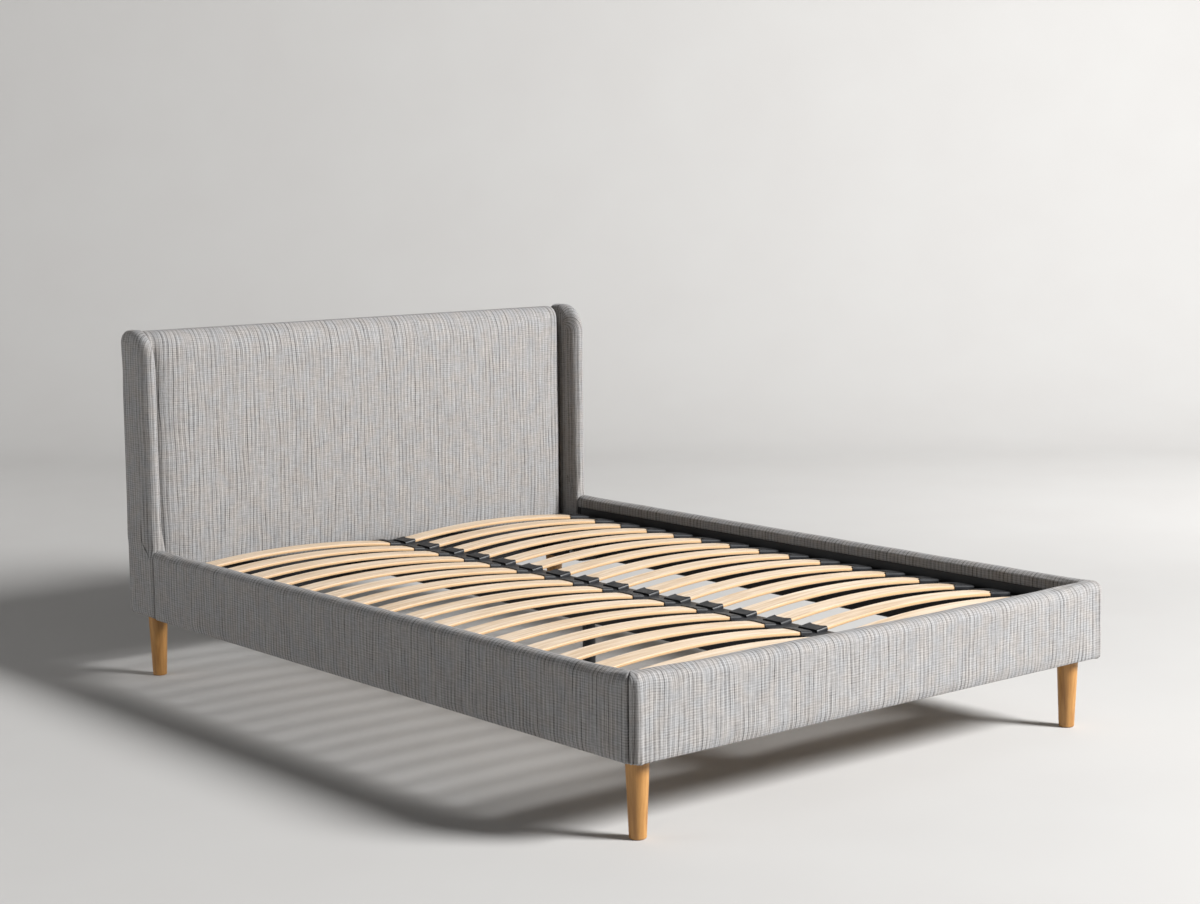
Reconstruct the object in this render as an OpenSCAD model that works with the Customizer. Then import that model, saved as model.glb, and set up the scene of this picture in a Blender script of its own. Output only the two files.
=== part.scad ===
// Upholstered double bed frame with short wings, a sprung slat base in two banks and turned wooden legs.
// Millimetres. The origin is on the floor under the middle of the bed, the foot is at -Y and +Z is up.

/* [Mattress space] */
// Width of the mattress that the frame takes
mattress_w = 1350; // [1200:10:1500]
// Length of the mattress that the frame takes
mattress_l = 1900; // [1850:10:2000]
// Room beside the mattress, on each side
side_play = 10; // [5:1:15]
// Room beyond the mattress, at each end
end_play = 4; // [2:1:12]

/* [Rails] */
// Height of the padded rails, from their underside to their top
rail_h = 181; // [172:1:200]
// Thickness of the side boards and of the foot board
board_t = 24; // [22:1:28]
// Foam and cover on the outside of the side boards
side_foam = 12; // [8:1:16]
// Foam and cover on the outside of the foot board
foot_foam = 22; // [18:1:30]
// Foam and cover on top of the boards
top_foam = 12; // [10:1:16]
// Thickness of the cover where it is turned down inside
inner_wrap = 4; // [3:0.5:6]
// Thickness of the cover where it is turned in under the boards
under_wrap = 3; // [2:0.5:5]
// How far the cover comes down inside
inner_drop = 36; // [30:1:40]
// Radius of the long top edges of the rails
rail_edge_r = 19; // [14:1:20]
// Radius of the long bottom edges of the rails
rail_low_r = 6; // [3:1:10]
// Radius of the upright corners at the foot
corner_r = 14; // [8:1:18]
// Radius of the side rails' upright edge at the wings
end_r = 7; // [3:1:10]

/* [Headboard] */
// Height of the headboard above the floor
head_h = 905; // [800:5:1000]
// Foam and cover in front of the headboard
head_foam = 38; // [30:1:50]
// Foam and cover over the top of the headboard frame
head_top_foam = 20; // [17:1:26]
// Radius of the headboard's top front edge
head_top_r = 36; // [24:1:45]
// Radius of the headboard's top back edge
head_back_r = 15; // [14:1:16]
// How far the middle of the headboard bulges beyond its edges
head_crown = 8; // [4:1:12]
// Height of the bottom of the headboard's foam above the centre beam
pad_clear = 5.5; // [3:0.5:10]
// How much the headboard's foam draws in at its two ends
head_draw = 12; // [6:1:13]
// Thickness of the plywood skin behind the foam
ply_t = 8; // [6:1:12]
// Thickness of the timber in the headboard frame
frame_t = 30; // [24:1:40]
// Width of the two posts of the headboard frame
post_w = 70; // [50:5:90]
// Height of the cross rails of the headboard frame
cross_rail_h = 70; // [50:5:90]
// Number of battens between the posts
batten_count = 5; // [5:1:7]
// Width of each batten
batten_w = 40; // [30:5:50]
// Thickness of the black dust cloths
cloth_t = 1; // [0.8:0.2:2]

/* [Wings] */
// How far the wings stand above the headboard
wing_rise = 7; // [2:1:15]
// Thickness of a padded wing
wing_t = 42; // [40:1:50]
// Depth of a wing from its back to its front edge
wing_depth = 135; // [120:1:160]
// Thickness of the board inside a wing
wing_board_t = 22; // [18:1:24]
// Foam and cover on the inner face of a wing
wing_inner_foam = 10; // [8:1:12]
// Foam and cover in front of the wing board and above it
wing_edge_foam = 12; // [10:1:16]
// Thickness of the cover at the back of a wing
wing_back_wrap = 3; // [2:0.5:5]
// Radius of a wing's top front corner, seen from the side
wing_front_r = 80; // [50:5:100]
// Radius of a wing's top back corner, seen from the side
wing_back_r = 33; // [20:1:45]
// Radius of a wing's two bottom corners, seen from the side
wing_low_r = 16; // [15:1:22]
// Radius of a wing's long padded edges
wing_edge_r = 14; // [10:1:14]
// Gap between the headboard's foam and a wing
wing_gap = 1; // [0.5:0.5:3]

/* [Slats] */
// Number of slats in each bank
slat_count = 16; // [12:1:16]
// Width of a slat
slat_w = 55; // [45:1:63]
// Thickness of a slat
slat_t = 8; // [7:0.5:10]
// Rise of a slat's underside from its ends to its middle
slat_crown = 22; // [14:1:28]
// Radius of a slat's long edges
slat_edge_r = 2.5; // [1:0.5:3.5]
// Distance from the headboard's foam to the middle of the first slat
slat_head_gap = 110; // [110:1:125]
// Distance from the foot rail to the middle of the last slat
slat_foot_gap = 98; // [80:1:120]
// Height of the slat rails' and the centre beam's tops above the rails' underside
seat_h = 117.5; // [112:0.5:118]

/* [Slat fittings] */
// Wall of the plastic caps and saddles
cap_wall = 2.5; // [2:0.5:3]
// Play round a slat in its cap
slat_play = 0.25; // [0.15:0.05:0.5]
// Distance that the ears of a cap reach beyond the middle of its mouth
scoop_depth = 27; // [15:1:32]
// Distance that the ears of a saddle reach beyond the middle of its mouth
saddle_scoop = 5; // [4:1:8]
// Width of each ear
ear_w = 6; // [4:0.5:8]
// Width of the straight middle of the mouth
mouth_w = 26; // [16:1:32]
// Depth of a cap's pocket in the middle of its mouth
cap_grip = 38; // [30:1:45]
// Depth of a saddle's pocket in the middle of its mouth
saddle_grip = 24; // [20:1:30]
// Distance between the inner ends of two slats in a saddle
slat_split = 24; // [20:1:28]
// Width of the web that links a saddle to the next one
web_w = 80; // [60:1:90]
// Height of the web between two saddles
web_h = 7; // [5:0.5:9]
// Gap between the webs of two saddles
web_gap = 0.5; // [0.2:0.1:1]
// Thickness of a saddle's skirts
skirt_t = 3; // [2:0.5:4]
// Play between a saddle's skirts and the beam
skirt_play = 0.2; // [0.1:0.05:0.4]
// How far a saddle's skirts come down beside the beam
skirt_h = 8; // [5:1:12]
// Diameter of the peg under a cap
peg_d = 8; // [6:0.5:9]
// Length of the peg under a cap
peg_l = 9; // [6:0.5:12]
// Play round a peg in its hole
peg_play = 0.3; // [0.2:0.05:0.5]
// Distance from a slat's outer end to the space for the mattress
slat_tail = 27; // [25:1:35]
// Reach of a slat rail from the side board
ledge_w = 52; // [46:1:60]
// Height of a slat rail's upright flange above its ledge
ledge_up = 27; // [20:1:27]
// Thickness of the steel in the slat rails
ledge_t = 2.5; // [2:0.5:3]
// Distance from a wing to the end of a slat rail
ledge_head_gap = 14; // [5:1:16]
// Distance from the foot rail to the end of a slat rail
ledge_foot_gap = 6; // [3:1:20]

/* [Centre beam] */
// Width of the centre beam
beam_w = 60; // [50:1:70]
// Height of the centre beam
beam_h = 80; // [60:1:90]
// Wall of the centre beam
beam_wall = 2; // [1.5:0.5:3]
// Play at each end of the beam
beam_play = 1; // [0.5:0.5:3]
// Thickness of the steel in the beam hangers
hanger_t = 3; // [2:0.5:4]
// Length of the cradle of a beam hanger
hanger_l = 40; // [30:1:60]
// Width of each screw flange of a beam hanger
hanger_flange = 24; // [20:1:35]
// Play beside the beam in a hanger
hanger_play = 0.3; // [0.2:0.1:1]
// Diameter of the screw holes in a beam hanger
hanger_hole_d = 6; // [4:0.5:7]

/* [Corner blocks and bolts] */
// Width of a corner block
block_w = 60; // [56:1:75]
// Height of a corner block
block_h = 95; // [88:1:105]
// How far a back corner block runs along the side board
block_run = 82; // [70:1:110]
// Diameter of the bolts
bolt_d = 8; // [6:1:8]
// Depth of a bolt's thread in a board
bolt_bite = 14; // [10:1:15]
// Width across the flats of a bolt's head
bolt_head_af = 13; // [11:0.5:14]
// Height of a bolt's head
bolt_head_h = 5.5; // [4:0.5:7]
// Height of the lower bolt above the corner block's underside
bolt_low_z = 22; // [18:1:26]
// Distance between the two bolts of a pair
bolt_pitch = 36; // [32:1:38]
// Height of the pair of bolts in the foot board above the side board's pair
bolt_step = 18; // [16:1:20]
// Chamfer on a corner block's free edge
block_chamfer = 6; // [2:1:7]
// Radial play round a bolt in a corner block
bolt_play = 0.25; // [0.1:0.05:0.5]
// Radial play round a thread in the wood
thread_play = 0.05; // [0.02:0.01:0.1]

/* [Legs] */
// Height of the wooden legs
leg_h = 167; // [120:1:200]
// Diameter of a leg at its top
leg_top_d = 50; // [44:1:54]
// Diameter of a leg at its foot
leg_foot_d = 36; // [28:1:42]
// Radius of the edge round a leg's foot
leg_foot_r = 4; // [2:0.5:6]
// Radius of the edge round a leg's top
leg_top_r = 1.5; // [0.5:0.5:3]
// Distance from the side of the bed to a leg's axis
leg_side_inset = 60; // [58:1:66]
// Distance from the foot of the bed to a front leg's axis
leg_foot_inset = 60; // [60:1:75]
// Distance from the back of the bed to a back leg's axis
leg_back_inset = 45; // [35:1:70]
// Length of a leg's bolt inside the leg, and inside the corner block
leg_bolt_bite = 40; // [30:1:50]

/* [Centre leg] */
// Diameter of the centre leg's tube
tube_d = 32; // [28:1:38]
// Wall of the centre leg's tube
tube_wall = 2; // [1.5:0.5:3]
// Length of the threaded plug in the foot of the tube
plug_l = 25; // [20:1:35]
// Height of the tube's lower end above the floor
tube_low = 30; // [26:1:40]
// Length and width of the plate on top of the centre leg
top_plate_w = 64; // [50:1:80]
// Thickness of the plate on top of the centre leg
top_plate_t = 3; // [2:0.5:4]
// Diameter of the levelling foot
foot_d = 46; // [36:1:60]
// Height of the levelling foot's rim
foot_rim_h = 5; // [3:0.5:7]
// Height of the levelling foot's dome
foot_dome_h = 10; // [8:0.5:13]
// Diameter of the levelling foot's stud
stud_d = 10; // [8:0.5:12]
// How far the stud reaches up into the tube beyond its plug
stud_over = 20; // [16:1:30]
// Width across the flats of the hexagon above the levelling foot
foot_hex_af = 17; // [13:1:19]
// Height of that hexagon
foot_hex_h = 6; // [4:0.5:7]
// Radial play round the stud
stud_play = 0.08; // [0.05:0.01:0.1]

/* [Hidden] */
// Size of the space for the mattress
well_w = mattress_w + 2 * side_play;
well_l = mattress_l + 2 * end_play;
// Thickness of each side of the frame
side_t = side_foam + board_t + inner_wrap;
foot_t = foot_foam + board_t + inner_wrap;
head_t = head_foam + ply_t + frame_t + cloth_t;
// Overall width and length
bed_w = well_w + 2 * side_t;
bed_l = foot_t + well_l + head_t;

// Places across the bed, on its right-hand side
x_out = bed_w / 2;
x_in = well_w / 2;
x_board = x_in + inner_wrap;
x_board_out = x_board + board_t;
x_wing = x_out - wing_t;
x_wing_board = x_wing + wing_inner_foam;
x_block = x_board - block_w;

// Places along the bed
y_foot = -bed_l / 2;
y_foot_in = y_foot + foot_t;
y_board = y_foot_in - inner_wrap;
y_board_out = y_board - board_t;
y_back = bed_l / 2;
y_cloth = y_back - cloth_t;
y_frame = y_cloth - frame_t;
y_ply = y_frame - ply_t;
y_head = y_ply - head_foam;
y_wing = y_back - wing_depth;
y_wing_board = y_wing + wing_edge_foam;
y_block_front = y_board + block_w;
y_block_back = y_wing - block_run;

// Heights
z_low = leg_h;
z_board = z_low + under_wrap;
z_rail = z_low + rail_h;
z_board_top = z_rail - top_foam;
z_wrap = z_rail - inner_drop;
z_seat = z_low + seat_h;
z_block_top = z_low + block_h;
z_frame_top = head_h - head_top_foam;
z_wing_top = head_h + wing_rise;
z_beam = z_seat - beam_h;
z_pad = z_seat + pad_clear;

// A slat is an arc of radius arc_r about an axis below the bed, parallel to Y
slat_pitch = (well_l - slat_head_gap - slat_foot_gap) / (slat_count - 1);
slat_in = slat_split / 2;
slat_out = x_in - slat_tail;
slat_mid = (slat_in + slat_out) / 2;
slat_half = (slat_out - slat_in) / 2;
arc_r = (slat_half * slat_half + slat_crown * slat_crown) / (2 * slat_crown);
arc_angle = 2 * asin(slat_half / arc_r);
z_axis = z_seat + cap_wall + slat_play - arc_r * cos(arc_angle / 2);
// The square-cut end of a slat leans out at its top by this much
slat_tip = (arc_r + slat_t) * sin(arc_angle / 2) - slat_half;
function slat_y(i) = y_head - slat_head_gap - slat_pitch * i;

// Caps, saddles and slat rails
cap_w = slat_w + 2 * (cap_wall + slat_play);
cap_back = slat_out + slat_tip + slat_play + cap_wall;
cap_mouth = slat_out - cap_grip;
saddle_mouth = slat_in + saddle_grip;
// A fitting follows its slat through this angle, a little more than its ears need
socket_angle = 1.1 * arc_angle * (max(cap_grip, saddle_grip) + scoop_depth) / (slat_out - slat_in);
ledge_x = x_board - ledge_w;
peg_x = (ledge_x + cap_back) / 2;
skirt_x = beam_w / 2 + skirt_play;

// Bolts through the corner blocks
bolt_l = block_w + bolt_bite;
bolt_front_y = y_block_front - block_w / 3;
bolt_rail_y = y_block_back + block_run / 2;
y_leg_back = y_back - leg_back_inset;
y_leg_front = y_foot + leg_foot_inset;
x_leg = x_out - leg_side_inset;
bolt_wing_y = (y_wing_board + y_leg_back) / 2;
bolt_foot_x = x_block + block_w / 4;
function bolt_heights(step) = [z_low + bolt_low_z + step, z_low + bolt_low_z + step + bolt_pitch];

// Centre leg
z_plug = tube_low + plug_l;
z_plate = z_beam - top_plate_t;
tube_r = tube_d / 2;

// Smoothness of small round shapes, of the slats and of their fittings
round_fn = 64;
arc_fn = 360;
disc_fn = 1440;
// Overshoot that carries a cut clear of the face that it leaves by
over = 1;
// More than the height of any slat fitting
tall = 60;

function slat_name(bank, i) = str("slat_", bank, i < 9 ? "_0" : "_", i + 1);

fabric = [0.62, 0.61, 0.60];
timber = [0.80, 0.66, 0.46];
plywood = [0.84, 0.70, 0.50];
birch = [0.95, 0.83, 0.66];
oak = [0.82, 0.60, 0.35];
black_cloth = [0.08, 0.08, 0.09];
black_steel = [0.10, 0.10, 0.11];
black_plastic = [0.16, 0.17, 0.19];
zinc = [0.72, 0.73, 0.75];

// A box given by its lowest and its highest corner
module span(low, high) {
    translate(low) cube(high - low);
}

// The same shape on both sides of the bed
module both_sides() {
    children();
    mirror([1, 0, 0]) children();
}

// A shape drawn for the right-hand side, put on the side asked for
module on_side(side) {
    mirror([side < 0 ? 1 : 0, 0, 0]) children();
}

// What a radius takes off a square corner that lies at the origin, with the material at +X and +Y
module nibble(r) {
    difference() {
        translate([-over, -over]) square(r + over);
        translate([r, r]) circle(r = r, $fn = round_fn);
    }
}

// A rectangle between two corners, with a radius for each corner in the order
// low left, low right, high right, high left
module round_rect(low, high, radii) {
    difference() {
        translate(low) square(high - low);
        translate(low) nibble(radii[0]);
        translate([high[0], low[1]]) rotate(90) nibble(radii[1]);
        translate(high) rotate(180) nibble(radii[2]);
        translate([low[0], high[1]]) rotate(270) nibble(radii[3]);
    }
}

// A drawing of X and Z laid along Y, and a drawing of Y and Z laid along X
module along_y(from, to) {
    translate([0, to, 0]) rotate([90, 0, 0]) linear_extrude(to - from) children();
}
module along_x(from, to) {
    translate([from, 0, 0]) rotate([90, 0, 90]) linear_extrude(to - from) children();
}

// Points along an arc in n steps
function arc(cx, cy, r, from, to, n) =
    [for (i = [0 : n]) let (a = from + (to - from) * i / n) [cx + r * cos(a), cy + r * sin(a)]];

// A closed skin over rings with the same number of points, which run anticlockwise as seen from +X
module skin(rings) {
    n = len(rings[0]);
    m = len(rings);
    polyhedron(
        points = [for (ring = rings) each ring],
        faces = concat(
            [[for (i = [0 : n - 1]) i]],
            [[for (i = [n - 1 : -1 : 0]) (m - 1) * n + i]],
            [for (j = [0 : m - 2], i = [0 : n - 1]) [j * n + i, (j + 1) * n + i, j * n + (i + 1) % n]],
            [for (j = [0 : m - 2], i = [0 : n - 1])
                [j * n + (i + 1) % n, (j + 1) * n + i, (j + 1) * n + (i + 1) % n]]),
        convexity = 4);
}

// Rods on the axes of the bolts at the right-hand corners, from the blocks' free faces into the boards
module bolt_rods(r, l) {
    for (z = bolt_heights(0), y = [bolt_front_y, bolt_rail_y, bolt_wing_y])
        translate([x_block, y, z]) rotate([0, 90, 0]) cylinder(r = r, h = l, $fn = round_fn);
    for (z = bolt_heights(bolt_step))
        translate([bolt_foot_x, y_block_front, z]) rotate([90, 0, 0]) cylinder(r = r, h = l, $fn = round_fn);
}
module bolt_threads() {
    bolt_rods(bolt_d / 2 + thread_play, bolt_l + over);
}

// Rails

// Plan of one side of the frame as far as the mitre, which runs at 45 degrees from the inner corner
module side_plan() {
    difference() {
        polygon([[x_in, y_foot_in], [x_out, y_foot_in - side_t], [x_out, y_wing], [x_in, y_wing]]);
        translate([x_out, y_foot]) rotate(90) nibble(corner_r);
        translate([x_out, y_wing]) rotate(180) nibble(end_r);
    }
}
module foot_plan() {
    difference() {
        polygon([[-x_in, y_foot_in], [-x_out, y_foot_in - side_t], [-x_out, y_foot], [x_out, y_foot],
                 [x_out, y_foot_in - side_t], [x_in, y_foot_in]]);
        translate([x_out, y_foot]) rotate(90) nibble(corner_r);
        translate([-x_out, y_foot]) nibble(corner_r);
    }
}

// Extrudes a plan over the height of the rails
module rail_height() {
    translate([0, 0, z_low - over]) linear_extrude(rail_h + 2 * over) children();
}

module side_board(side) {
    color(timber) on_side(side) difference() {
        span([x_board, y_board, z_board], [x_board_out, y_wing, z_board_top]);
        bolt_threads();
    }
}
module foot_board() {
    color(timber) difference() {
        span([-x_board_out, y_board_out, z_board], [x_board_out, y_board, z_board_top]);
        both_sides() bolt_threads();
    }
}

// A pad wraps its board above, outside and below, and its cover is turned down on the inside
module side_pad(side) {
    color(fabric) on_side(side) difference() {
        intersection() {
            along_y(y_foot, y_wing) round_rect([x_in, z_low], [x_out, z_rail],
                [rail_low_r, rail_low_r, rail_edge_r, rail_edge_r]);
            rail_height() side_plan();
        }
        span([x_board, y_board_out, z_board], [x_board_out, y_wing + over, z_board_top]);
        span([x_in - over, y_foot, z_low - over], [x_board, y_wing + over, z_wrap]);
    }
}
module foot_pad() {
    color(fabric) difference() {
        intersection() {
            along_x(-x_out, x_out) round_rect([y_foot, z_low], [y_foot_in, z_rail],
                [rail_low_r, rail_low_r, rail_edge_r, rail_edge_r]);
            along_y(y_foot - over, y_foot_in + over) round_rect([-x_out, z_low], [x_out, z_rail],
                [rail_low_r, rail_low_r, rail_edge_r, rail_edge_r]);
            rail_height() foot_plan();
        }
        span([-x_board_out, y_board_out, z_board], [x_board_out, y_board, z_board_top]);
        span([-x_board, y_board, z_low - over], [x_board, y_foot_in + over, z_wrap]);
    }
}

// Headboard and wings

// Two posts that stand on the back corner blocks, three cross rails, and battens behind the skin
module headboard_frame() {
    inner = x_wing_board - post_w;
    z_mid = (z_block_top + z_frame_top) / 2;
    color(timber) {
        both_sides() span([inner, y_frame, z_block_top], [x_wing_board, y_cloth, z_frame_top]);
        span([-x_block, y_frame, z_board], [x_block, y_cloth, z_block_top + over]);
        for (z = [z_block_top, z_mid - cross_rail_h / 2, z_frame_top - cross_rail_h])
            span([-inner - over, y_frame, z], [inner + over, y_cloth, z + cross_rail_h]);
        for (i = [1 : batten_count])
            translate([inner * (2 * i / (batten_count + 1) - 1) - batten_w / 2, y_frame, z_block_top])
                cube([batten_w, frame_t, z_frame_top - z_block_top]);
    }
}
module headboard_board() {
    color(plywood) along_y(y_ply, y_frame)
        polygon([[-x_block, z_board], [x_block, z_board], [x_block, z_block_top], [x_wing_board, z_block_top],
                 [x_wing_board, z_frame_top], [-x_wing_board, z_frame_top], [-x_wing_board, z_block_top],
                 [-x_block, z_block_top]]);
}

// The headboard's foam is a loft of upright sections from side to side. Its front is full in the middle
// and its outer faces draw in over the last head_draw_w, as a quarter ellipse does.
head_half = x_wing - wing_gap;
head_draw_w = 26;
head_rows = 9;
head_arc_n = 6;
function head_drawn(x) =
    let (t = max(0, (abs(x) - head_half) / head_draw_w + 1)) head_draw * (1 - sqrt(max(0, 1 - t * t)));
function head_front(x, z) =
    let (across = 1 - pow(abs(x) / x_out, 4), up = 1 - pow(abs(2 * (z - z_pad) / (head_h - z_pad) - 1), 4))
    y_head + head_crown * (1 - across * up) + head_drawn(x);
function head_section(x) =
    let (d = head_drawn(x), z_turn = head_h - head_top_r, y_turn = head_front(x, z_turn))
    [for (p = concat(
        [[y_back - d, z_pad]],
        arc(y_back - head_back_r, head_h - head_back_r, head_back_r - d, 0, 90, head_arc_n),
        arc(y_turn + head_top_r - d, z_turn, head_top_r - d, 90, 180, head_arc_n),
        [for (k = [head_rows - 1 : -1 : 0]) let (z = z_pad + (z_turn - z_pad) * k / head_rows)
            [head_front(x, z), z]]))
        [x, p[0], p[1]]];
// Places of the sections, closer together where the foam draws in
head_steps = 6;
head_cells = 12;
head_places = concat(
    [for (i = [0 : head_steps - 1]) -head_half + head_draw_w * (1 - cos(90 * i / head_steps))],
    [for (i = [0 : head_cells]) (head_half - head_draw_w) * (2 * i / head_cells - 1)],
    [for (i = [head_steps - 1 : -1 : 0]) head_half - head_draw_w * (1 - cos(90 * i / head_steps))]);
// The foam laps over the top of the frame and ends behind it, flush with the dust cloth
module headboard_pad() {
    color(fabric) difference() {
        skin([for (x = head_places) head_section(x)]);
        span([-x_out, y_ply, z_pad - over], [x_out, y_back + over, z_frame_top]);
    }
}

// Outline of a wing as seen from the side, drawn in by d all round
wing_arc_n = 8;
function wing_ring(x, d) =
    [for (p = concat(
        arc(y_wing + wing_low_r, z_low + wing_low_r, wing_low_r - d, 180, 270, wing_arc_n / 2),
        arc(y_back - wing_low_r, z_low + wing_low_r, wing_low_r - d, 270, 360, wing_arc_n / 2),
        arc(y_back - wing_back_r, z_wing_top - wing_back_r, wing_back_r - d, 0, 90, wing_arc_n),
        arc(y_wing + wing_front_r, z_wing_top - wing_front_r, wing_front_r - d, 90, 180, 2 * wing_arc_n)))
        [x, p[0], p[1]]];
// How far across a wing and how far drawn in each ring lies, a quarter circle at both long edges
wing_steps = 4;
wing_turn = [for (i = [0 : wing_steps]) let (a = 90 * i / wing_steps)
    [wing_edge_r * (1 - cos(a)), wing_edge_r * (1 - sin(a))]];
module wing_skin() {
    skin(concat(
        [for (i = [0 : wing_steps]) wing_ring(x_wing + wing_turn[i][0], wing_turn[i][1])],
        [for (i = [wing_steps : -1 : 0]) wing_ring(x_out - wing_turn[i][0], wing_turn[i][1])]));
}
module wing_board() {
    along_x(x_wing_board, x_wing_board + wing_board_t)
        round_rect([y_wing_board, z_board], [y_back - wing_back_wrap, z_wing_top - wing_edge_foam],
            [wing_low_r - wing_back_wrap, wing_low_r - wing_back_wrap,
             wing_back_r - wing_edge_foam, wing_front_r - wing_edge_foam]);
}
module wing_boards() {
    color(timber) both_sides() difference() {
        wing_board();
        bolt_threads();
    }
}
// The inner foam of a wing stops at the corner block below and at the headboard's frame behind
module wing_pad(side) {
    color(fabric) on_side(side) difference() {
        wing_skin();
        wing_board();
        span([x_wing - over, y_ply, z_low - over], [x_wing_board, y_back + over, z_frame_top]);
        span([x_wing - over, y_wing_board, z_low - over], [x_wing_board, y_ply + over, z_block_top]);
        span([x_wing - over, y_wing - over, z_low - over], [x_board, y_wing_board + over, z_block_top]);
    }
}

// Black cloth over the back of the headboard and over the bare inner faces below the mattress
module dust_cloths() {
    hanger_x = beam_w / 2 + hanger_play + hanger_t + hanger_flange;
    color(black_cloth) {
        span([-x_block, y_cloth, z_board], [x_block, y_back, z_block_top + over]);
        span([-x_wing_board, y_cloth, z_block_top], [x_wing_board, y_back, z_frame_top]);
        both_sides() {
            span([x_board - cloth_t, y_block_front, z_board], [x_board, y_block_back, z_seat - ledge_t]);
            span([hanger_x, y_board, z_board], [x_block, y_board + cloth_t, z_wrap]);
            span([hanger_x, y_ply - cloth_t, z_board], [x_block, y_ply, z_pad]);
        }
    }
}

// Slats and their fittings

// Part of an arc with the section given, about the axis of a right-hand slat. It starts at the slat's outer
// end, grown there by g, and goes on through the angle given. The section's X is the distance from the axis.
module slat_arc(g, angle, fn) {
    translate([slat_mid, 0, z_axis]) rotate([90, 0, 0]) rotate(90 - arc_angle / 2 - asin(g / arc_r))
        rotate_extrude(angle = angle, $fn = fn) children();
}
// Section of a slat, grown on every face by g
module slat_section(g) {
    round_rect([arc_r - g, -slat_w / 2 - g], [arc_r + slat_t + g, slat_w / 2 + g],
        [for (i = [1 : 4]) slat_edge_r + g]);
}
module slat(side, i) {
    color(birch) on_side(side) translate([0, slat_y(i), 0]) slat_arc(0, arc_angle, arc_fn) slat_section(0);
}

// Edge of a fitting's scooped mouth in plan, whose ears reach beyond its middle. It runs towards -Y for a
// mouth that faces +X.
function mouth_edge(mouth, ear) =
    let (s = sign(ear - mouth), w = cap_w / 2, m = mouth_w / 2)
    [[ear, s * (w + over)], [ear, s * (w - ear_w)], [mouth, s * m], [mouth, -s * m], [ear, s * (ear_w - w)],
     [ear, -s * (w + over)]];
// The shell of a fitting round the outer end of a slat, and the plain room that it leaves for the slat
module outer_shell() {
    slat_arc(slat_play + cap_wall, socket_angle, disc_fn) slat_section(slat_play + cap_wall);
}
module outer_room() {
    g = slat_play;
    slat_arc(g, socket_angle, disc_fn) translate([arc_r - g, -slat_w / 2 - g])
        square([slat_t + 2 * g, slat_w + 2 * g]);
}
// An inner end is the mirror image of an outer end in the middle of the slat
module inner_end() {
    translate([2 * slat_mid, 0, 0]) mirror([1, 0, 0]) children();
}

// Cap on the outer end of a slat, with a sole on the slat rail and a peg through it
module end_cap() {
    sole_w = cap_w / 2 - slat_edge_r - cap_wall;
    difference() {
        intersection() {
            union() {
                outer_shell();
                span([ledge_x, -sole_w, z_seat], [slat_out, sole_w, z_seat + slat_t]);
            }
            translate([0, 0, z_seat]) linear_extrude(tall)
                polygon(concat(mouth_edge(cap_mouth, cap_mouth - scoop_depth),
                    [[x_in, cap_w / 2 + over], [x_in, -cap_w / 2 - over]]));
        }
        outer_room();
    }
    translate([peg_x, 0, z_seat - peg_l]) cylinder(d = peg_d, h = peg_l + cap_wall, $fn = round_fn);
}
module slat_end_caps() {
    color(black_plastic) both_sides() for (i = [0 : slat_count - 1]) translate([0, slat_y(i), 0]) end_cap();
}

// Saddle for the inner ends of two slats, with a sole on the centre beam, skirts that clip over it and
// a web on both sides that fills half of the way to the next saddle
module saddle() {
    sole_w = cap_w / 2 - slat_edge_r - cap_wall;
    sole_x = skirt_x + skirt_t;
    ear = saddle_mouth + saddle_scoop;
    web_y = (slat_pitch - web_gap) / 2;
    web_in = cap_w / 2 - cap_wall + web_gap;
    difference() {
        intersection() {
            union() {
                both_sides() inner_end() outer_shell();
                span([-sole_x, -sole_w, z_seat], [sole_x, sole_w, z_seat + slat_t]);
            }
            translate([0, 0, z_seat]) linear_extrude(tall)
                polygon(concat(mouth_edge(saddle_mouth, ear), mouth_edge(-saddle_mouth, -ear)));
        }
        both_sides() inner_end() outer_room();
    }
    both_sides() span([skirt_x, -sole_w, z_seat - skirt_h], [sole_x, sole_w, z_seat + over]);
    for (side = [-1, 1]) translate([0, side * (web_in + web_y) / 2, z_seat])
        linear_extrude(web_h) square([web_w, web_y - web_in], center = true);
}
module slat_saddles() {
    color(black_plastic) for (i = [0 : slat_count - 1]) translate([0, slat_y(i), 0]) saddle();
}

// Steel angle on the inside of a side board, with a hole for the peg of each cap
module slat_rail(side) {
    z_under = z_seat - ledge_t;
    color(black_steel) on_side(side) difference() {
        along_y(y_foot_in + ledge_foot_gap, y_wing - ledge_head_gap)
            polygon([[ledge_x, z_under], [x_board, z_under], [x_board, z_seat + ledge_up],
                     [x_board - ledge_t, z_seat + ledge_up], [x_board - ledge_t, z_seat], [ledge_x, z_seat]]);
        for (i = [0 : slat_count - 1]) translate([peg_x, slat_y(i), z_under - over])
            cylinder(r = peg_d / 2 + peg_play, h = ledge_t + 2 * over, $fn = round_fn);
    }
}

// Centre beam, its hangers and its leg

module centre_beam() {
    color(black_steel) along_y(y_board + beam_play, y_ply - beam_play) difference() {
        translate([-beam_w / 2, z_beam]) square([beam_w, beam_h]);
        translate([beam_wall - beam_w / 2, z_beam + beam_wall])
            square([beam_w - 2 * beam_wall, beam_h - 2 * beam_wall]);
    }
}

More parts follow.
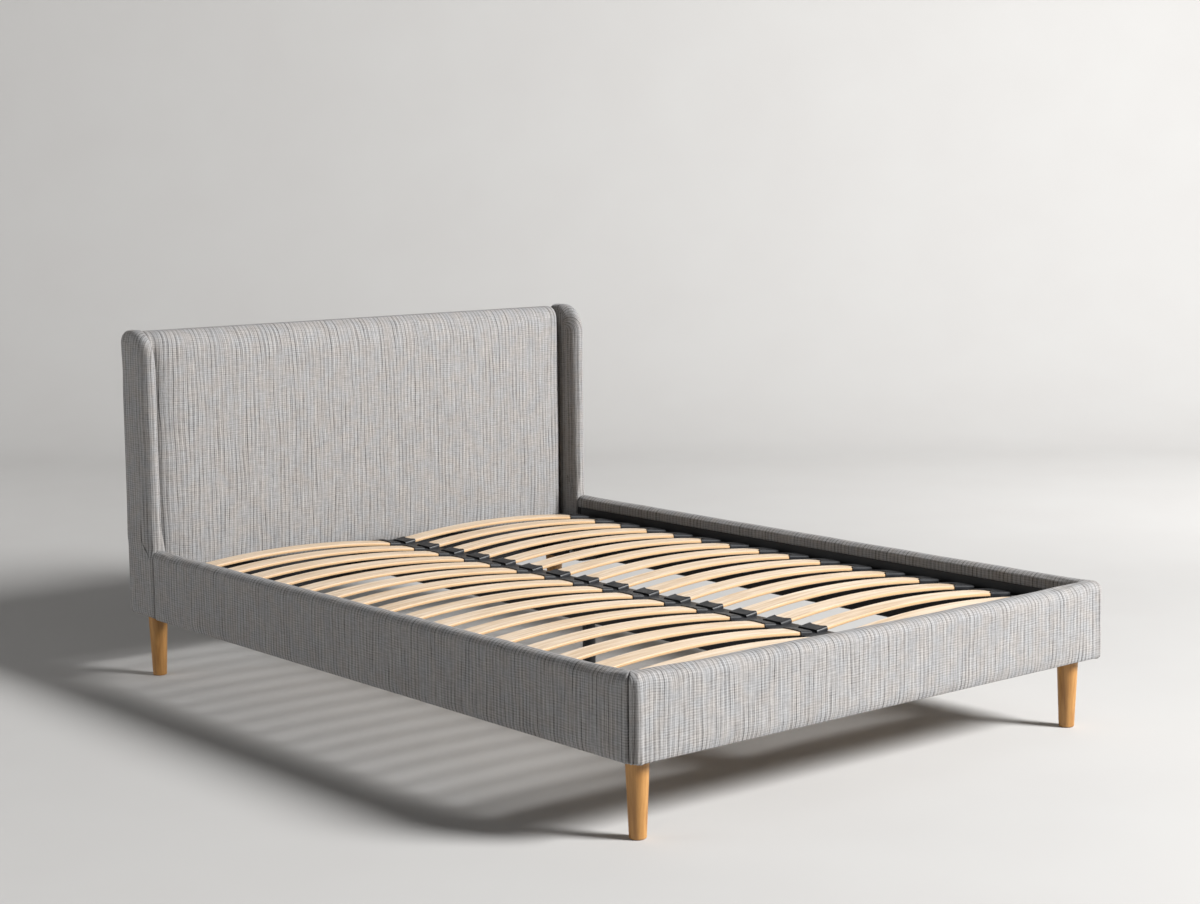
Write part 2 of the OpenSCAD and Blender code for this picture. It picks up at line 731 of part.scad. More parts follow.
// A cradle under the end of the beam, with a screw flange on each side that lies on the board at y = 0
module beam_hanger() {
    inner = beam_w / 2 + hanger_play;
    outer = inner + hanger_t;
    z_under = z_beam - hanger_t;
    z_top = z_seat - hanger_t;
    difference() {
        union() {
            along_y(0, hanger_l) polygon([[-outer, z_under], [outer, z_under], [outer, z_top], [inner, z_top],
                [inner, z_beam], [-inner, z_beam], [-inner, z_top], [-outer, z_top]]);
            both_sides() span([inner + hanger_t / 2, 0, z_under], [outer + hanger_flange, hanger_t, z_top]);
        }
        both_sides() for (z = [z_beam + beam_h / 5, z_beam + 4 * beam_h / 5 - hanger_t])
            translate([outer + hanger_flange / 2, -over, z]) rotate([-90, 0, 0])
                cylinder(d = hanger_hole_d, h = hanger_t + 2 * over, $fn = round_fn);
    }
}
module beam_hangers() {
    color(black_steel) {
        translate([0, y_board, 0]) beam_hanger();
        translate([0, y_ply, 0]) mirror([0, 1, 0]) beam_hanger();
    }
}

module centre_leg() {
    color(black_steel) difference() {
        union() {
            translate([-top_plate_w / 2, -top_plate_w / 2, z_plate])
                cube([top_plate_w, top_plate_w, top_plate_t]);
            translate([0, 0, tube_low]) cylinder(r = tube_r, h = z_plate - tube_low + over, $fn = round_fn);
        }
        translate([0, 0, z_plug]) cylinder(r = tube_r - tube_wall, h = z_plate - z_plug, $fn = round_fn);
        translate([0, 0, tube_low - over])
            cylinder(r = stud_d / 2 + stud_play, h = plug_l + 2 * over, $fn = round_fn);
    }
}

// A domed foot with a hexagon for a spanner and a stud that screws into the centre leg
module levelling_foot() {
    foot_r = foot_d / 2;
    dome_rise = foot_dome_h - foot_rim_h;
    dome_r = (foot_r * foot_r + dome_rise * dome_rise) / (2 * dome_rise);
    hex_top = foot_dome_h + foot_hex_h;
    color(black_plastic) {
        rotate_extrude($fn = round_fn) intersection() {
            square([foot_r, foot_dome_h]);
            translate([0, foot_dome_h - dome_r]) circle(r = dome_r, $fn = disc_fn);
        }
        translate([0, 0, foot_rim_h])
            cylinder(d = foot_hex_af / cos(30), h = hex_top - foot_rim_h, $fn = 6);
        translate([0, 0, foot_rim_h])
            cylinder(d = stud_d, h = z_plug + stud_over - foot_rim_h, $fn = round_fn);
    }
}

// Legs, corner blocks and bolts

// Turned leg with its axis at the origin, tapered from its top to a rounded foot
module leg() {
    taper = atan((leg_top_d - leg_foot_d) / 2 / leg_h);
    steps = 4;
    top_r = leg_top_d / 2;
    low_r = leg_foot_d / 2;
    color(oak) difference() {
        rotate_extrude($fn = round_fn) polygon(concat(
            [[0, 0]],
            arc(low_r - leg_foot_r, leg_foot_r, leg_foot_r, 270, 360 - taper, steps),
            arc(top_r - leg_top_r, leg_h - leg_top_r, leg_top_r, -taper, 90, steps),
            [[0, leg_h]]));
        translate([0, 0, leg_h - leg_bolt_bite - over])
            cylinder(r = bolt_d / 2 + thread_play, h = leg_bolt_bite + 2 * over, $fn = round_fn);
    }
}
module leg_at(side, y) {
    translate([side * x_leg, y, 0]) leg();
}

module corner_block_cuts() {
    bolt_rods(bolt_d / 2 + bolt_play, bolt_l);
    for (y = [y_leg_front, y_leg_back]) translate([x_leg, y, z_low - over])
        cylinder(r = bolt_d / 2 + thread_play, h = leg_bolt_bite + 2 * over, $fn = round_fn);
}
// The front block fills the corner of the two boards. The back one runs along the side board, then along
// the wing board as far as the back of the headboard frame.
module corner_blocks() {
    c = block_chamfer;
    color(timber) both_sides() difference() {
        translate([0, 0, z_low]) linear_extrude(block_h) {
            polygon([[x_block, y_board], [x_board, y_board], [x_board, y_block_front],
                     [x_block + c, y_block_front], [x_block, y_block_front - c]]);
            polygon([[x_block, y_block_back + c], [x_block + c, y_block_back], [x_board, y_block_back],
                     [x_board, y_wing_board], [x_wing_board, y_wing_board], [x_wing_board, y_cloth],
                     [x_block, y_cloth]]);
        }
        corner_block_cuts();
    }
}

// A hexagon-headed bolt that points along +Z, with the underside of its head at the origin
module bolt() {
    translate([0, 0, -bolt_head_h]) cylinder(d = bolt_head_af / cos(30), h = bolt_head_h, $fn = 6);
    translate([0, 0, -bolt_head_h / 2]) cylinder(d = bolt_d, h = bolt_l + bolt_head_h / 2, $fn = round_fn);
}
module frame_bolts() {
    color(zinc) both_sides() {
        for (z = bolt_heights(0), y = [bolt_front_y, bolt_rail_y, bolt_wing_y])
            translate([x_block, y, z]) rotate([0, 90, 0]) bolt();
        for (z = bolt_heights(bolt_step))
            translate([bolt_foot_x, y_block_front, z]) rotate([90, 0, 0]) bolt();
    }
}
module leg_bolts() {
    color(zinc) for (side = [-1, 1], y = [y_leg_front, y_leg_back])
        translate([side * x_leg, y, z_low - leg_bolt_bite])
            cylinder(d = bolt_d, h = 2 * leg_bolt_bite, $fn = round_fn);
}

headboard_frame();
headboard_board();
headboard_pad();
wing_boards();
wing_pad(-1);  // wing_pad_left
wing_pad(1);  // wing_pad_right
side_board(-1);  // side_board_left
side_board(1);  // side_board_right
foot_board();
side_pad(-1);  // side_pad_left
side_pad(1);  // side_pad_right
foot_pad();
dust_cloths();
slat_rail(-1);  // slat_rail_left
slat_rail(1);  // slat_rail_right
slat_end_caps();
slat_saddles();
centre_beam();
beam_hangers();
centre_leg();
levelling_foot();
leg_at(-1, y_leg_front);  // leg_front_left
leg_at(1, y_leg_front);  // leg_front_right
leg_at(-1, y_leg_back);  // leg_back_left
leg_at(1, y_leg_back);  // leg_back_right
corner_blocks();
frame_bolts();
leg_bolts();
for (i = [0 : slat_count - 1]) {
    slat(-1, i);
    slat(1, i);
}
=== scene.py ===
# %% [markdown]
# # An upholstered double bed
# The bed's timber, steel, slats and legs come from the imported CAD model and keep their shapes. This notebook
# gives them finishes, and makes the padded fabric pieces as surfaces of their own, worked out with numpy.
# Every length is in metres, in the CAD model's frame: the floor is z = 0, the foot end is towards -Y.

import math

import bpy
import numpy as np
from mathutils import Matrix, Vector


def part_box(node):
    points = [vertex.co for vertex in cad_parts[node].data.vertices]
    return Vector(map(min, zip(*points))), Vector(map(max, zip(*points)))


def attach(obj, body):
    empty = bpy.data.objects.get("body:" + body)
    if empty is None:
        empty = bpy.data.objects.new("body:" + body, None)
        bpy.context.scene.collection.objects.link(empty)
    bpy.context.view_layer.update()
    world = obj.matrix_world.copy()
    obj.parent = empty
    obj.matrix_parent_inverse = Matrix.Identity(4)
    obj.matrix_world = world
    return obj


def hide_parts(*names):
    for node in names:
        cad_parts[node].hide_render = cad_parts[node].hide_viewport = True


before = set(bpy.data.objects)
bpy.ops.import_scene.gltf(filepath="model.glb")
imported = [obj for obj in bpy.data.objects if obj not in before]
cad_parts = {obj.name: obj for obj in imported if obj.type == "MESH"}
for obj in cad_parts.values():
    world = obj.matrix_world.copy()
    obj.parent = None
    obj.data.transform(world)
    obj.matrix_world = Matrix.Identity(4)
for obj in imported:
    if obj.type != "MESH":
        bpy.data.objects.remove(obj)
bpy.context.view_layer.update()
MM = 0.001
SIDES = {-1: "left", 1: "right"}        # the sign of x, and its side in the photograph

# %% [markdown]
# ## The camera
# The photograph was taken with a longer lens, a little above the height of the headboard, from the front left.
# A camera is an upright pinhole: three unit vectors (right, up, forward) and a place. They are written here from
# the yaw, pitch and roll that bring the corners of the real bed to where the photograph shows them.

# %% Camera
PHOTO_W, FOCAL_PX = 1200, 2249.46
SENSOR_MM = 36.0
CAMERA_AT = (-3.4734, -4.2384, 1.3316)
yaw, pitch, roll = (math.radians(a) for a in (39.668, 7.387, -0.569))

forward = np.array([math.sin(yaw) * math.cos(pitch), math.cos(yaw) * math.cos(pitch), -math.sin(pitch)])
level_right = np.array([math.cos(yaw), -math.sin(yaw), 0.0])
level_up = np.cross(level_right, forward)
cam_right = level_right * math.cos(roll) + level_up * math.sin(roll)
cam_up = level_up * math.cos(roll) - level_right * math.sin(roll)

scene = bpy.context.scene
camera = bpy.data.objects.new("camera", bpy.data.cameras.new("camera"))
scene.collection.objects.link(camera)
scene.camera = camera
camera.data.sensor_width = SENSOR_MM
camera.data.lens = FOCAL_PX * SENSOR_MM / PHOTO_W
camera.data.clip_end = 60.0
pose = np.eye(4)
pose[:3, :3] = np.stack([cam_right, cam_up, -forward], axis=1)
pose[:3, 3] = CAMERA_AT
camera.matrix_world = pose.T.tolist()
print("lens", round(camera.data.lens, 2), "mm")

# %% [markdown]
# ## Surfaces from grids
# Each padded piece is a closed skin, made of a few rectangular grids of points. A grid also carries its place on
# the flat cloth, in metres, so that the weave follows the piece as real cloth does when it's cut and pulled over
# foam. Points that two grids share are welded, and the sign of the enclosed volume says which way is out.

# %% Helpers that make a mesh from grids
MICROMETRE = 1e-6


def weld(grids):
    """Join grids of points. Two points closer than a micrometre are one vertex.
    Each cell of a grid is a quad, corner order (i, j), (i, j+1), (i+1, j+1), (i+1, j)."""
    points, cloth, quads, start = [], [], [], 0
    for spots, coords in grids:
        rows, cols = spots.shape[:2]
        index = start + np.arange(rows * cols).reshape(rows, cols)
        quads.append(np.stack([index[:-1, :-1], index[:-1, 1:], index[1:, 1:], index[1:, :-1]], -1).reshape(-1, 4))
        points.append(spots.reshape(-1, 3))
        cloth.append(coords.reshape(-1, 2))
        start += rows * cols
    points, cloth, quads = np.concatenate(points), np.concatenate(cloth), np.concatenate(quads)
    _, first, same = np.unique(np.round(points / MICROMETRE).astype(np.int64), axis=0,
                               return_index=True, return_inverse=True)
    return points[first], cloth, same.reshape(-1)[quads], quads


def volume(points, faces):
    """Enclosed volume: a sixth of the sum of a . (b x c) over the triangles of each quad."""
    a, b, c, d = (points[faces[:, k]] for k in range(4))
    return float((np.einsum("ij,ij->i", a, np.cross(b, c)) + np.einsum("ij,ij->i", a, np.cross(c, d))).sum() / 6)


def open_edges(faces):
    """Edges that aren't walked exactly once each way, which a closed and consistent skin doesn't have."""
    walks = np.stack([faces, np.roll(faces, -1, axis=1)], -1).reshape(-1, 2)
    there = set(map(tuple, walks.tolist()))
    return len(walks) - len(there) + sum((b, a) not in there for a, b in there)


def skin(name, grids):
    """A smooth closed mesh object from grids, with the cloth's coordinates as its UV map."""
    points, cloth, faces, cells = weld(grids)
    if volume(points, faces) < 0:
        faces, cells = faces[:, ::-1], cells[:, ::-1]
    mesh = bpy.data.meshes.new(name)
    mesh.from_pydata(points.tolist(), [], faces.tolist())
    mesh.uv_layers.new(name="cloth").uv.foreach_set("vector", cloth[cells].astype(np.float32).ravel())
    mesh.shade_smooth()
    piece = bpy.data.objects.new(name, mesh)
    scene.collection.objects.link(piece)
    print(f"{name}: {len(points)} points, {len(faces)} quads, open edges {open_edges(faces)}")
    return piece


def shell(outer, inner, cloth):
    """The six grids of a thick sheet: its outer face, its inner face turned over, and four edges that join them."""
    flip = (inner[:, ::-1], cloth[:, ::-1])
    return [
        (outer, cloth), flip,
        (np.stack([inner[0], outer[0]]), np.stack([cloth[0], cloth[0]])),
        (np.stack([outer[-1], inner[-1]]), np.stack([cloth[-1], cloth[-1]])),
        (np.stack([inner[:, 0], outer[:, 0]], 1), np.stack([cloth[:, 0], cloth[:, 0]], 1)),
        (np.stack([outer[:, -1], inner[:, -1]], 1), np.stack([cloth[:, -1], cloth[:, -1]], 1)),
    ]


def waves(a, b, wavelength, seed, count=9):
    """Gentle unevenness of about -1 to 1: 1.6 times the mean of sine waves in the plane (a, b). Their directions,
    phases and lengths, from 0.7 to 1.6 of the wavelength, are drawn with a seed."""
    rng = np.random.default_rng(seed)
    turn, phase = rng.uniform(0, 2 * np.pi, (2, count))
    length = wavelength * rng.uniform(0.7, 1.6, count)
    way = (a[..., None] * np.cos(turn) + b[..., None] * np.sin(turn)) / length
    return np.sin(2 * np.pi * way + phase).mean(-1) * 1.6


# %% [markdown]
# ## How a cover fills out
# An upholsterer pulls the cover tight over foam that is a little too big for it, so that the cover swells between
# the places where it's stapled. Blender's Cloth does the same: a small pressure inside, no gravity, and the
# stapled points held. The swelling is limited softly, so that a pad can't grow into what stands beside it.

# %% The simulation of a padded cover
def read_points(mesh):
    """The places of a mesh's vertices, as an (n, 3) array."""
    points = np.empty(len(mesh.vertices) * 3, np.float32)
    mesh.vertices.foreach_get("co", points)
    return points.reshape(-1, 3)


def write_points(mesh, points):
    """Put the mesh's vertices at these places."""
    mesh.vertices.foreach_set("co", points.astype(np.float32).ravel())
    mesh.update()


def fill_out(piece, held, limit, pressure=4.0, frames=20):
    """Blow the skin up with Cloth, then move each point by limit * tanh(travel / limit) along its travel."""
    rest = read_points(piece.data)
    group = piece.vertex_groups.new(name="stapled")
    group.add(np.flatnonzero(held(rest)).tolist(), 1.0, "ADD")
    cloth = piece.modifiers.new("cover", "CLOTH")
    cloth.settings.vertex_group_mass = group.name
    cloth.settings.use_pressure = True
    cloth.settings.uniform_pressure_force = pressure
    cloth.settings.effector_weights.gravity = 0.0
    cloth.settings.quality = 4
    cloth.point_cache.frame_start, cloth.point_cache.frame_end = 1, frames
    for step in range(1, frames + 1):
        scene.frame_set(step)
    posed = piece.evaluated_get(bpy.context.evaluated_depsgraph_get())
    travel = read_points(posed.data) - rest
    far = np.linalg.norm(travel, axis=1, keepdims=True)
    kept = travel * (limit * np.tanh(far / limit) / np.maximum(far, 1e-9))
    piece.modifiers.remove(cloth)
    piece.vertex_groups.remove(group)
    write_points(piece.data, rest + kept)
    scene.frame_set(1)
    print(f"{piece.name}: swelled by up to {np.linalg.norm(kept, axis=1).max() / MM:.1f} mm")


# %% [markdown]
# ## Colours and nodes
# A colour is written as it looks on a screen, an sRGB hex value, and a shader wants light, so one function turns
# it into linear numbers. One more adds a node with its settings and its links, and that is all that the
# finishes below need.

# %% Colour and node helpers
def linear(code):
    """sRGB hex to linear RGBA: c / 12.92 for dark values, otherwise ((c + 0.055) / 1.055) ** 2.4."""
    c = np.array([int(code[k:k + 2], 16) for k in (1, 3, 5)]) / 255
    return (*np.where(c <= 0.04045, c / 12.92, ((c + 0.055) / 1.055) ** 2.4).tolist(), 1.0)


def plug(tree, made, inputs):
    """Fill a node's sockets. A node stands for its first output in use, and a hex colour for its light."""
    for key, value in inputs.items():
        if isinstance(value, bpy.types.Node):
            value = next(socket for socket in value.outputs if socket.enabled)
        if isinstance(value, bpy.types.NodeSocket):
            tree.links.new(value, made.inputs[key])
        else:
            made.inputs[key].default_value = linear(value) if isinstance(value, str) else value


def node(tree, kind, inputs=None, **settings):
    """Add a shader node. settings are its own properties, and inputs a value or a link for each socket."""
    made = tree.nodes.new("ShaderNode" + kind)
    for key, value in settings.items():
        setattr(made, key, value)
    plug(tree, made, inputs or {})
    return made


def new_finish(name, **sockets):
    """A material with a Principled shader and its even values. Also a point's place in the CAD frame."""
    material = bpy.data.materials.new(name)
    material.use_nodes = True
    tree = material.node_tree
    shader = tree.nodes["Principled BSDF"]
    join_shader(tree, shader, **sockets)
    return material, tree, shader, node(tree, "TexCoord").outputs["Object"]


def join_shader(tree, shader, **sockets):
    """Give the shader's own sockets their values and links. Their names have _ for a space."""
    plug(tree, shader, {key.replace("_", " "): value for key, value in sockets.items()})


def wear(node_name, material):
    """Give a CAD node its finish, in every slot."""
    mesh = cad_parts[node_name].data
    mesh.materials.clear()
    mesh.materials.append(material)


# %% [markdown]
# ## Slub weave upholstery fabric
# The cover is a heavy polyester and linen blend. Its upright yarns lie in soft ribs, which wander a little because
# the yarn is spun unevenly on purpose. The valley between two ribs is darker, partly because the yarn is thin there
# and partly as painted shade in the recess. The cross yarns are finer. A sine wave across the cloth makes ribs, a
# power of it makes the valleys, and stretched noise makes the thick and thin places. All are drawn about twice as
# coarse as on the real cloth, so a render shows them.

# %% Fabric
RIBS = {                    # axis of the cloth, wavelength in mm, share in the colour
    "rib": (0, 12.4, 0.052),
    "fine rib": (0, 5.3, 0.044),
    "cross rib": (1, 5.6, 0.036),
}
YARNS = {"slub": 0.08, "yarn": 0.22, "cross yarn": 0.20, "knot": 0.10}      # share of each in the colour
CELLS = {                   # each noise's cell on the flat cloth: its width and its upright length in mm
    "drift": (60.0, 260.0),
    "slub": (7.0, 130.0),
    "yarn": (2.8, 46.0),
    "cross yarn": (34.0, 3.2),
    "knot": (5.0, 5.0),
    "fading": (46.0, 90.0),
    "rib": (0.8 * RIBS["rib"][1], 170.0),
    "fine rib": (0.8 * RIBS["fine rib"][1], 170.0),
}
WANDER = (16 * MM, 6 * MM, 0.0)         # how far the drift moves a rib, and a cross yarn
VALLEY_SHADE, VALLEY_POWER = 0.17, 9.0  # how much the valley between two ribs is darkened, by thin yarn and painted shade, and how narrow it is
YARN_RELIEF, RIB_RELIEF = 0.6, 1.5      # height of a yarn, and of a rib for each share of colour
fabric, tree, shader, _ = new_finish("slub_weave_grey", Roughness=0.92, Sheen_Weight=0.06, Sheen_Roughness=0.45,
                                     Specular_IOR_Level=0.25)
cloth_at = node(tree, "UVMap", uv_map="cloth")

noise, woven_at = {}, cloth_at
for name, (across, along) in CELLS.items():
    at = node(tree, "VectorMath", {0: woven_at, 1: (1 / (across * MM), 1 / (along * MM), 1.0)}, operation="MULTIPLY")
    cells = node(tree, "TexNoise", {"Vector": at, "Scale": 1.0, "Detail": 1.0, "Roughness": 0.6})
    noise[name] = cells
    if name == "drift":
        # Every rib and yarn wanders along its run, so the rest is drawn on cloth that the drift has moved
        drift = node(tree, "VectorMath", {0: cells.outputs[1], 1: (0.5, 0.5, 0.5)}, operation="SUBTRACT")
        woven_at = node(tree, "VectorMath", {0: drift, 1: WANDER, 2: cloth_at}, operation="MULTIPLY_ADD")
run = node(tree, "SeparateXYZ", {0: woven_at}).outputs
fade = node(tree, "MapRange", {0: noise["fading"], 1: 0.35, 2: 0.65, 3: 0.55, 4: 1.35})

tone, relief = 0.5, 0.5
for name, share in YARNS.items():
    centred = node(tree, "Math", {0: noise[name], 1: 0.5}, operation="SUBTRACT")
    tone = node(tree, "Math", {0: centred, 1: share, 2: tone}, operation="MULTIPLY_ADD")
    relief = node(tree, "Math", {0: centred, 1: YARN_RELIEF, 2: relief}, operation="MULTIPLY_ADD")
for name, (axis, wavelength, share) in RIBS.items():
    phase = node(tree, "Math", {0: run[axis], 1: 2 * math.pi / (wavelength * MM)}, operation="MULTIPLY")
    wave = node(tree, "Math", {0: phase}, operation="SINE")
    rib = node(tree, "Math", {0: wave, 1: fade}, operation="MULTIPLY")
    tone = node(tree, "Math", {0: rib, 1: share, 2: tone}, operation="MULTIPLY_ADD")
    relief = node(tree, "Math", {0: rib, 1: RIB_RELIEF * share, 2: relief}, operation="MULTIPLY_ADD")
    if name in noise:
        # The valley's darkening is partly painted shade, laid where the bump below sinks the cloth, and partly the
        # thin yarn
        low = node(tree, "Math", {0: wave, 1: -0.5, 2: 0.5}, operation="MULTIPLY_ADD")
        thin = node(tree, "Math", {0: low, 1: VALLEY_POWER}, operation="POWER")
        valley_shade = node(tree, "MapRange", {0: noise[name], 1: 0.42, 2: 0.66, 4: VALLEY_SHADE})
        valley = node(tree, "Math", {0: thin, 1: valley_shade}, operation="MULTIPLY")
        tone = node(tree, "Math", {0: tone, 1: valley}, operation="SUBTRACT")
        relief = node(tree, "Math", {0: valley, 1: -RIB_RELIEF, 2: relief}, operation="MULTIPLY_ADD")
spread = node(tree, "MapRange", {0: tone, 1: 0.19, 2: 0.66})
blend = node(tree, "Mix", {0: spread, 6: "#4e4c4b", 7: "#aeadac"}, data_type="RGBA")
patch = node(tree, "TexNoise", {"Vector": cloth_at, "Scale": 26.0, "Detail": 1.0})      # 4 cm patches
tinge_mix = node(tree, "MapRange", {0: patch, 1: 0.35, 2: 0.65})
tinge = node(tree, "Mix", {0: tinge_mix, 6: "#fffbf8", 7: "#fafbfd"}, data_type="RGBA")
woven = node(tree, "Mix", {0: 1.0, 6: blend, 7: tinge}, data_type="RGBA", blend_type="MULTIPLY")
bump = node(tree, "Bump", {"Strength": 0.8, "Distance": 1.0 * MM, "Height": relief})
join_shader(tree, shader, Base_Color=woven, Normal=bump)
print("fabric ribs", {name: f"{wavelength} mm" for name, (axis, wavelength, share) in RIBS.items()})

# %% [markdown]
# ## The padded rails
# Each rail is a board with foam on its outer side and top, and the cover is pulled over both and turned down
# inside. One section does for the sides and for the foot: up the inner face, round the top, down the outer face
# and under the board. It's carried along two lines, Q on the inner face and P on the outer one, and lies in the
# upright plane through both, so a mitre needs nothing more than a slanted plane at the end.

# %% The section of a rail
side_low, side_high = (np.array(c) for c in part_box("side_pad_right"))
foot_low, foot_high = (np.array(c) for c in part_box("foot_pad"))
board_low, board_high = (np.array(c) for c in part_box("side_board_right"))
X_IN, X_OUT = side_low[0], side_high[0]
Z_LOW, Z_RAIL = side_low[2], side_high[2]
Y_FOOT, Y_FOOT_IN, Y_WING = foot_low[1], foot_high[1], side_high[1]
SIDE_T = X_OUT - X_IN
FOOT_T = Y_FOOT_IN - Y_FOOT
WRAP = board_low[0] - X_IN
BOARD_T = board_high[0] - board_low[0]
INNER_DROP = 36 * MM        # how far the cover comes down on the inner side
EDGE_R, LOW_R = 19 * MM, 6 * MM
INNER_R = 0.96              # radius of the inner edge, as a share of the outer one
FOAM_IN = 0.04              # the foam's inner skin is this share of its thickness off the board
UNEVEN, UNEVEN_WAVE = 0.7 * MM, 160 * MM


def rail_section(width, stretch):
    """Section of a rail for arrays of widths: (w, z) from the inner lip over the top and down to the bottom hem.
    Corners are quarter ellipses, stretch times as wide as high. Also its outward normals and cloth length."""
    quarter = np.linspace(0, np.pi / 2, 8)
    stretch = stretch[:, None]
    w_in, w_out = np.zeros_like(stretch), width[:, None]
    top, side = np.sin(quarter), np.cos(quarter)
    rise = np.linspace(Z_RAIL - INNER_DROP, Z_RAIL - EDGE_R, 3)[:-1]
    fall = np.linspace(Z_RAIL - EDGE_R, Z_LOW + LOW_R, 16)[1:-1]
    low = quarter[::2]
    hem = np.array([0.0, 0.34, 0.67, 1.0])
    parts_w = [w_in + 0 * rise, INNER_R * EDGE_R * stretch * (1 - side), w_out / 2,
               w_out - EDGE_R * stretch * (1 - side[::-1]), w_out + 0 * fall,
               w_out - LOW_R * stretch * (1 - np.cos(low)),
               (w_out - LOW_R * stretch) * (1 - hem) + WRAP * stretch * hem]
    parts_z = [rise, Z_RAIL - EDGE_R * (1 - top), [Z_RAIL], Z_RAIL - EDGE_R * (1 - top[::-1]), fall,
               Z_LOW + LOW_R * (1 - np.sin(low)), Z_LOW + 0 * hem]
    parts_n = [np.full(len(rise), np.pi), np.pi - quarter, [np.pi / 2], quarter[::-1], 0 * fall,
               -low, -np.pi / 2 + 0 * hem]
    w, z = np.concatenate(parts_w, axis=1), np.concatenate(parts_z)
    turn = np.concatenate(parts_n)
    middle = w[len(w) // 2]
    length = np.concatenate([[0.0], np.hypot(np.diff(middle), np.diff(z)).cumsum()])
    return w, z, np.cos(turn), np.sin(turn), length


def rail_pad(name, q, p, outward, extra, push, cloth_axis, seed):
    """Carry the section along q and p, (m, 2) arrays of plan points, and close it round its board.
    outward is the outer face's plan normal, extra the cloth used up by wrapped corners, and push(s, v) moves
    the surface in or out."""
    across = p - q
    width = np.linalg.norm(across, axis=1)
    across = across / width[:, None]
    stretch = 1 / np.einsum("ij,ij->i", across, outward)
    w, z, n_w, n_z, length = rail_section(width, stretch)
    out = push(length[None, :] + 0 * w)
    plan = q[:, None, :] + across[:, None, :] * w[..., None]
    uneven = UNEVEN * waves(plan[..., cloth_axis], z[None, :] + w, UNEVEN_WAVE, seed)
    out = out + uneven * np.clip((z - Z_LOW) / (30 * MM), 0, 1)
    plan = plan + outward[:, None, :] * (out * n_w)[..., None]
    outer = np.concatenate([plan, (z + out * n_z)[..., None]], axis=2)
    w_board = np.clip(w, WRAP * stretch[:, None], (WRAP + BOARD_T) * stretch[:, None])
    z_board = np.clip(z, board_low[2], board_high[2])
    w_inner, z_inner = w_board + (w - w_board) * FOAM_IN, z_board + (z - z_board) * FOAM_IN + 0 * w
    inner = np.concatenate([q[:, None, :] + across[:, None, :] * w_inner[..., None], z_inner[..., None]], axis=2)
    cloth = np.stack([outer[..., cloth_axis] + extra[:, None], length[None, :] + 0 * w], axis=2)
    return skin(name, shell(outer, inner, cloth))


print("rails", [round(v / MM, 1) for v in (X_IN, X_OUT, Y_FOOT, Y_FOOT_IN, Y_WING, Z_LOW, Z_RAIL, WRAP, BOARD_T)])

# %% [markdown]
# ## Side rails
# A side rail runs from the mitre at the foot to the wing at the head. Its cover is closed at both ends, so both
# ends fall away: little at the mitre, where two covers are pulled hard against each other, and more at the
# wing, where the pad simply ends.

# %% Side rail pads
def rounded(distance, radius):
    """How far a rounded end lies below the face: r - sqrt(r^2 - (r - d)^2) within a radius of the end, else 0."""
    near = np.clip(radius - distance, 0, radius)
    return radius - np.sqrt(np.maximum(radius ** 2 - near ** 2, 0))


SEAM_W, SEAM_D = 12 * MM, 2.5 * MM      # the pad sinks by SEAM_D towards the seam, over a width of SEAM_W
END_R = 9 * MM
GROOVE, GROOVE_W = 9 * MM, 1.6 * MM     # depth of the seam's groove and how fast its walls fall in
SEAM_BACK = 16 * MM         # the seam lies this far behind the front of the foot rail
SEAM_DY = FOOT_T - SEAM_BACK
seam_run = np.array([0.0, 0.3, 0.8, 1.6, 2.6, 4.0, 6.0, 8.5]) * MM
end_run = END_R * (1 - np.cos(np.linspace(0, np.pi / 2, 6)))


def drawn_in(p, q, depth):
    """Points p moved towards q by depth: q + (p - q) (1 - depth / |p - q|)."""
    return q + (p - q) * (1 - depth / np.linalg.norm(p - q, axis=1))[:, None]


def side_rail(side):
    """A side pad: y runs from the mitre plane to the wing, closer together at both rounded ends."""
    whole = Y_WING - Y_FOOT_IN
    run = np.concatenate([seam_run, np.linspace(SEAM_W, whole - END_R, 150)[:-1], whole - end_run[::-1]])
    share = 1 - run / whole
    q = np.stack([np.full_like(run, side * X_IN), Y_FOOT_IN + run], axis=1)
    p = np.stack([np.full_like(run, side * X_OUT), Y_FOOT_IN + run - SEAM_DY * share], axis=1)
    p = drawn_in(p, q, SEAM_D * np.clip(1 - run / SEAM_W, 0, 1) ** 2 + GROOVE * np.exp(-run / GROOVE_W))
    end = rounded(whole - run, END_R)

    def push(v):
        over_top = np.clip((v - 0.5 * INNER_DROP) / (20 * MM), 0, 1)        # the inner face runs on to the wing
        return -end[:, None] * over_top

    outward = np.tile([side, 0.0], (len(run), 1))
    return rail_pad("side_rail_pad_" + SIDES[side], q, p, outward, 0 * run, push, cloth_axis=1, seed=11 + side)


side_pads = {side: side_rail(side) for side in SIDES}

# %% [markdown]
# ## Foot rail
# The foot rail's cover is one length of cloth. It goes round both front corners and stops in the seams, 16 mm
# behind the front. The spare cloth of each corner is folded into a flat pleat, which lies slanting across the
# corner with two creases in it, and the front's cloth laps over its edge.

# %% Foot rail pad
CORNER_R, CHAMFER_X, CHAMFER_Y = 8 * MM, 13 * MM, SEAM_BACK
slant = math.atan2(CHAMFER_Y, CHAMFER_X)                # the pleat turns the cover this far at the corner
facet = math.hypot(CHAMFER_X, CHAMFER_Y) - CORNER_R * math.tan(slant / 2)
straight = X_OUT - CHAMFER_X - CORNER_R * math.tan(slant / 2)
beyond_run = CORNER_R * slant + facet                   # cloth from the straight front to the seam
CREASES = ((8.0 * MM, 2.0 * MM), (13.6 * MM, 1.4 * MM))     # distance from the seam, and depth
CREASE_W = 1.3 * MM
LAP, LAP_IN, LAP_W = 1.6 * MM, 2 * MM, 4 * MM               # height of the lap over the pleat, its place and width
to_seam = np.array([0.0, 0.6, 1.4, 2.4, 3.6, 4.8, 6.0, 7.2, 8.4, 9.6, 10.8, 12.0, 13.2, 14.4, 15.6, 16.8, 17.6, 18.3,
                    19.2, 20.3, 21.4]) * MM
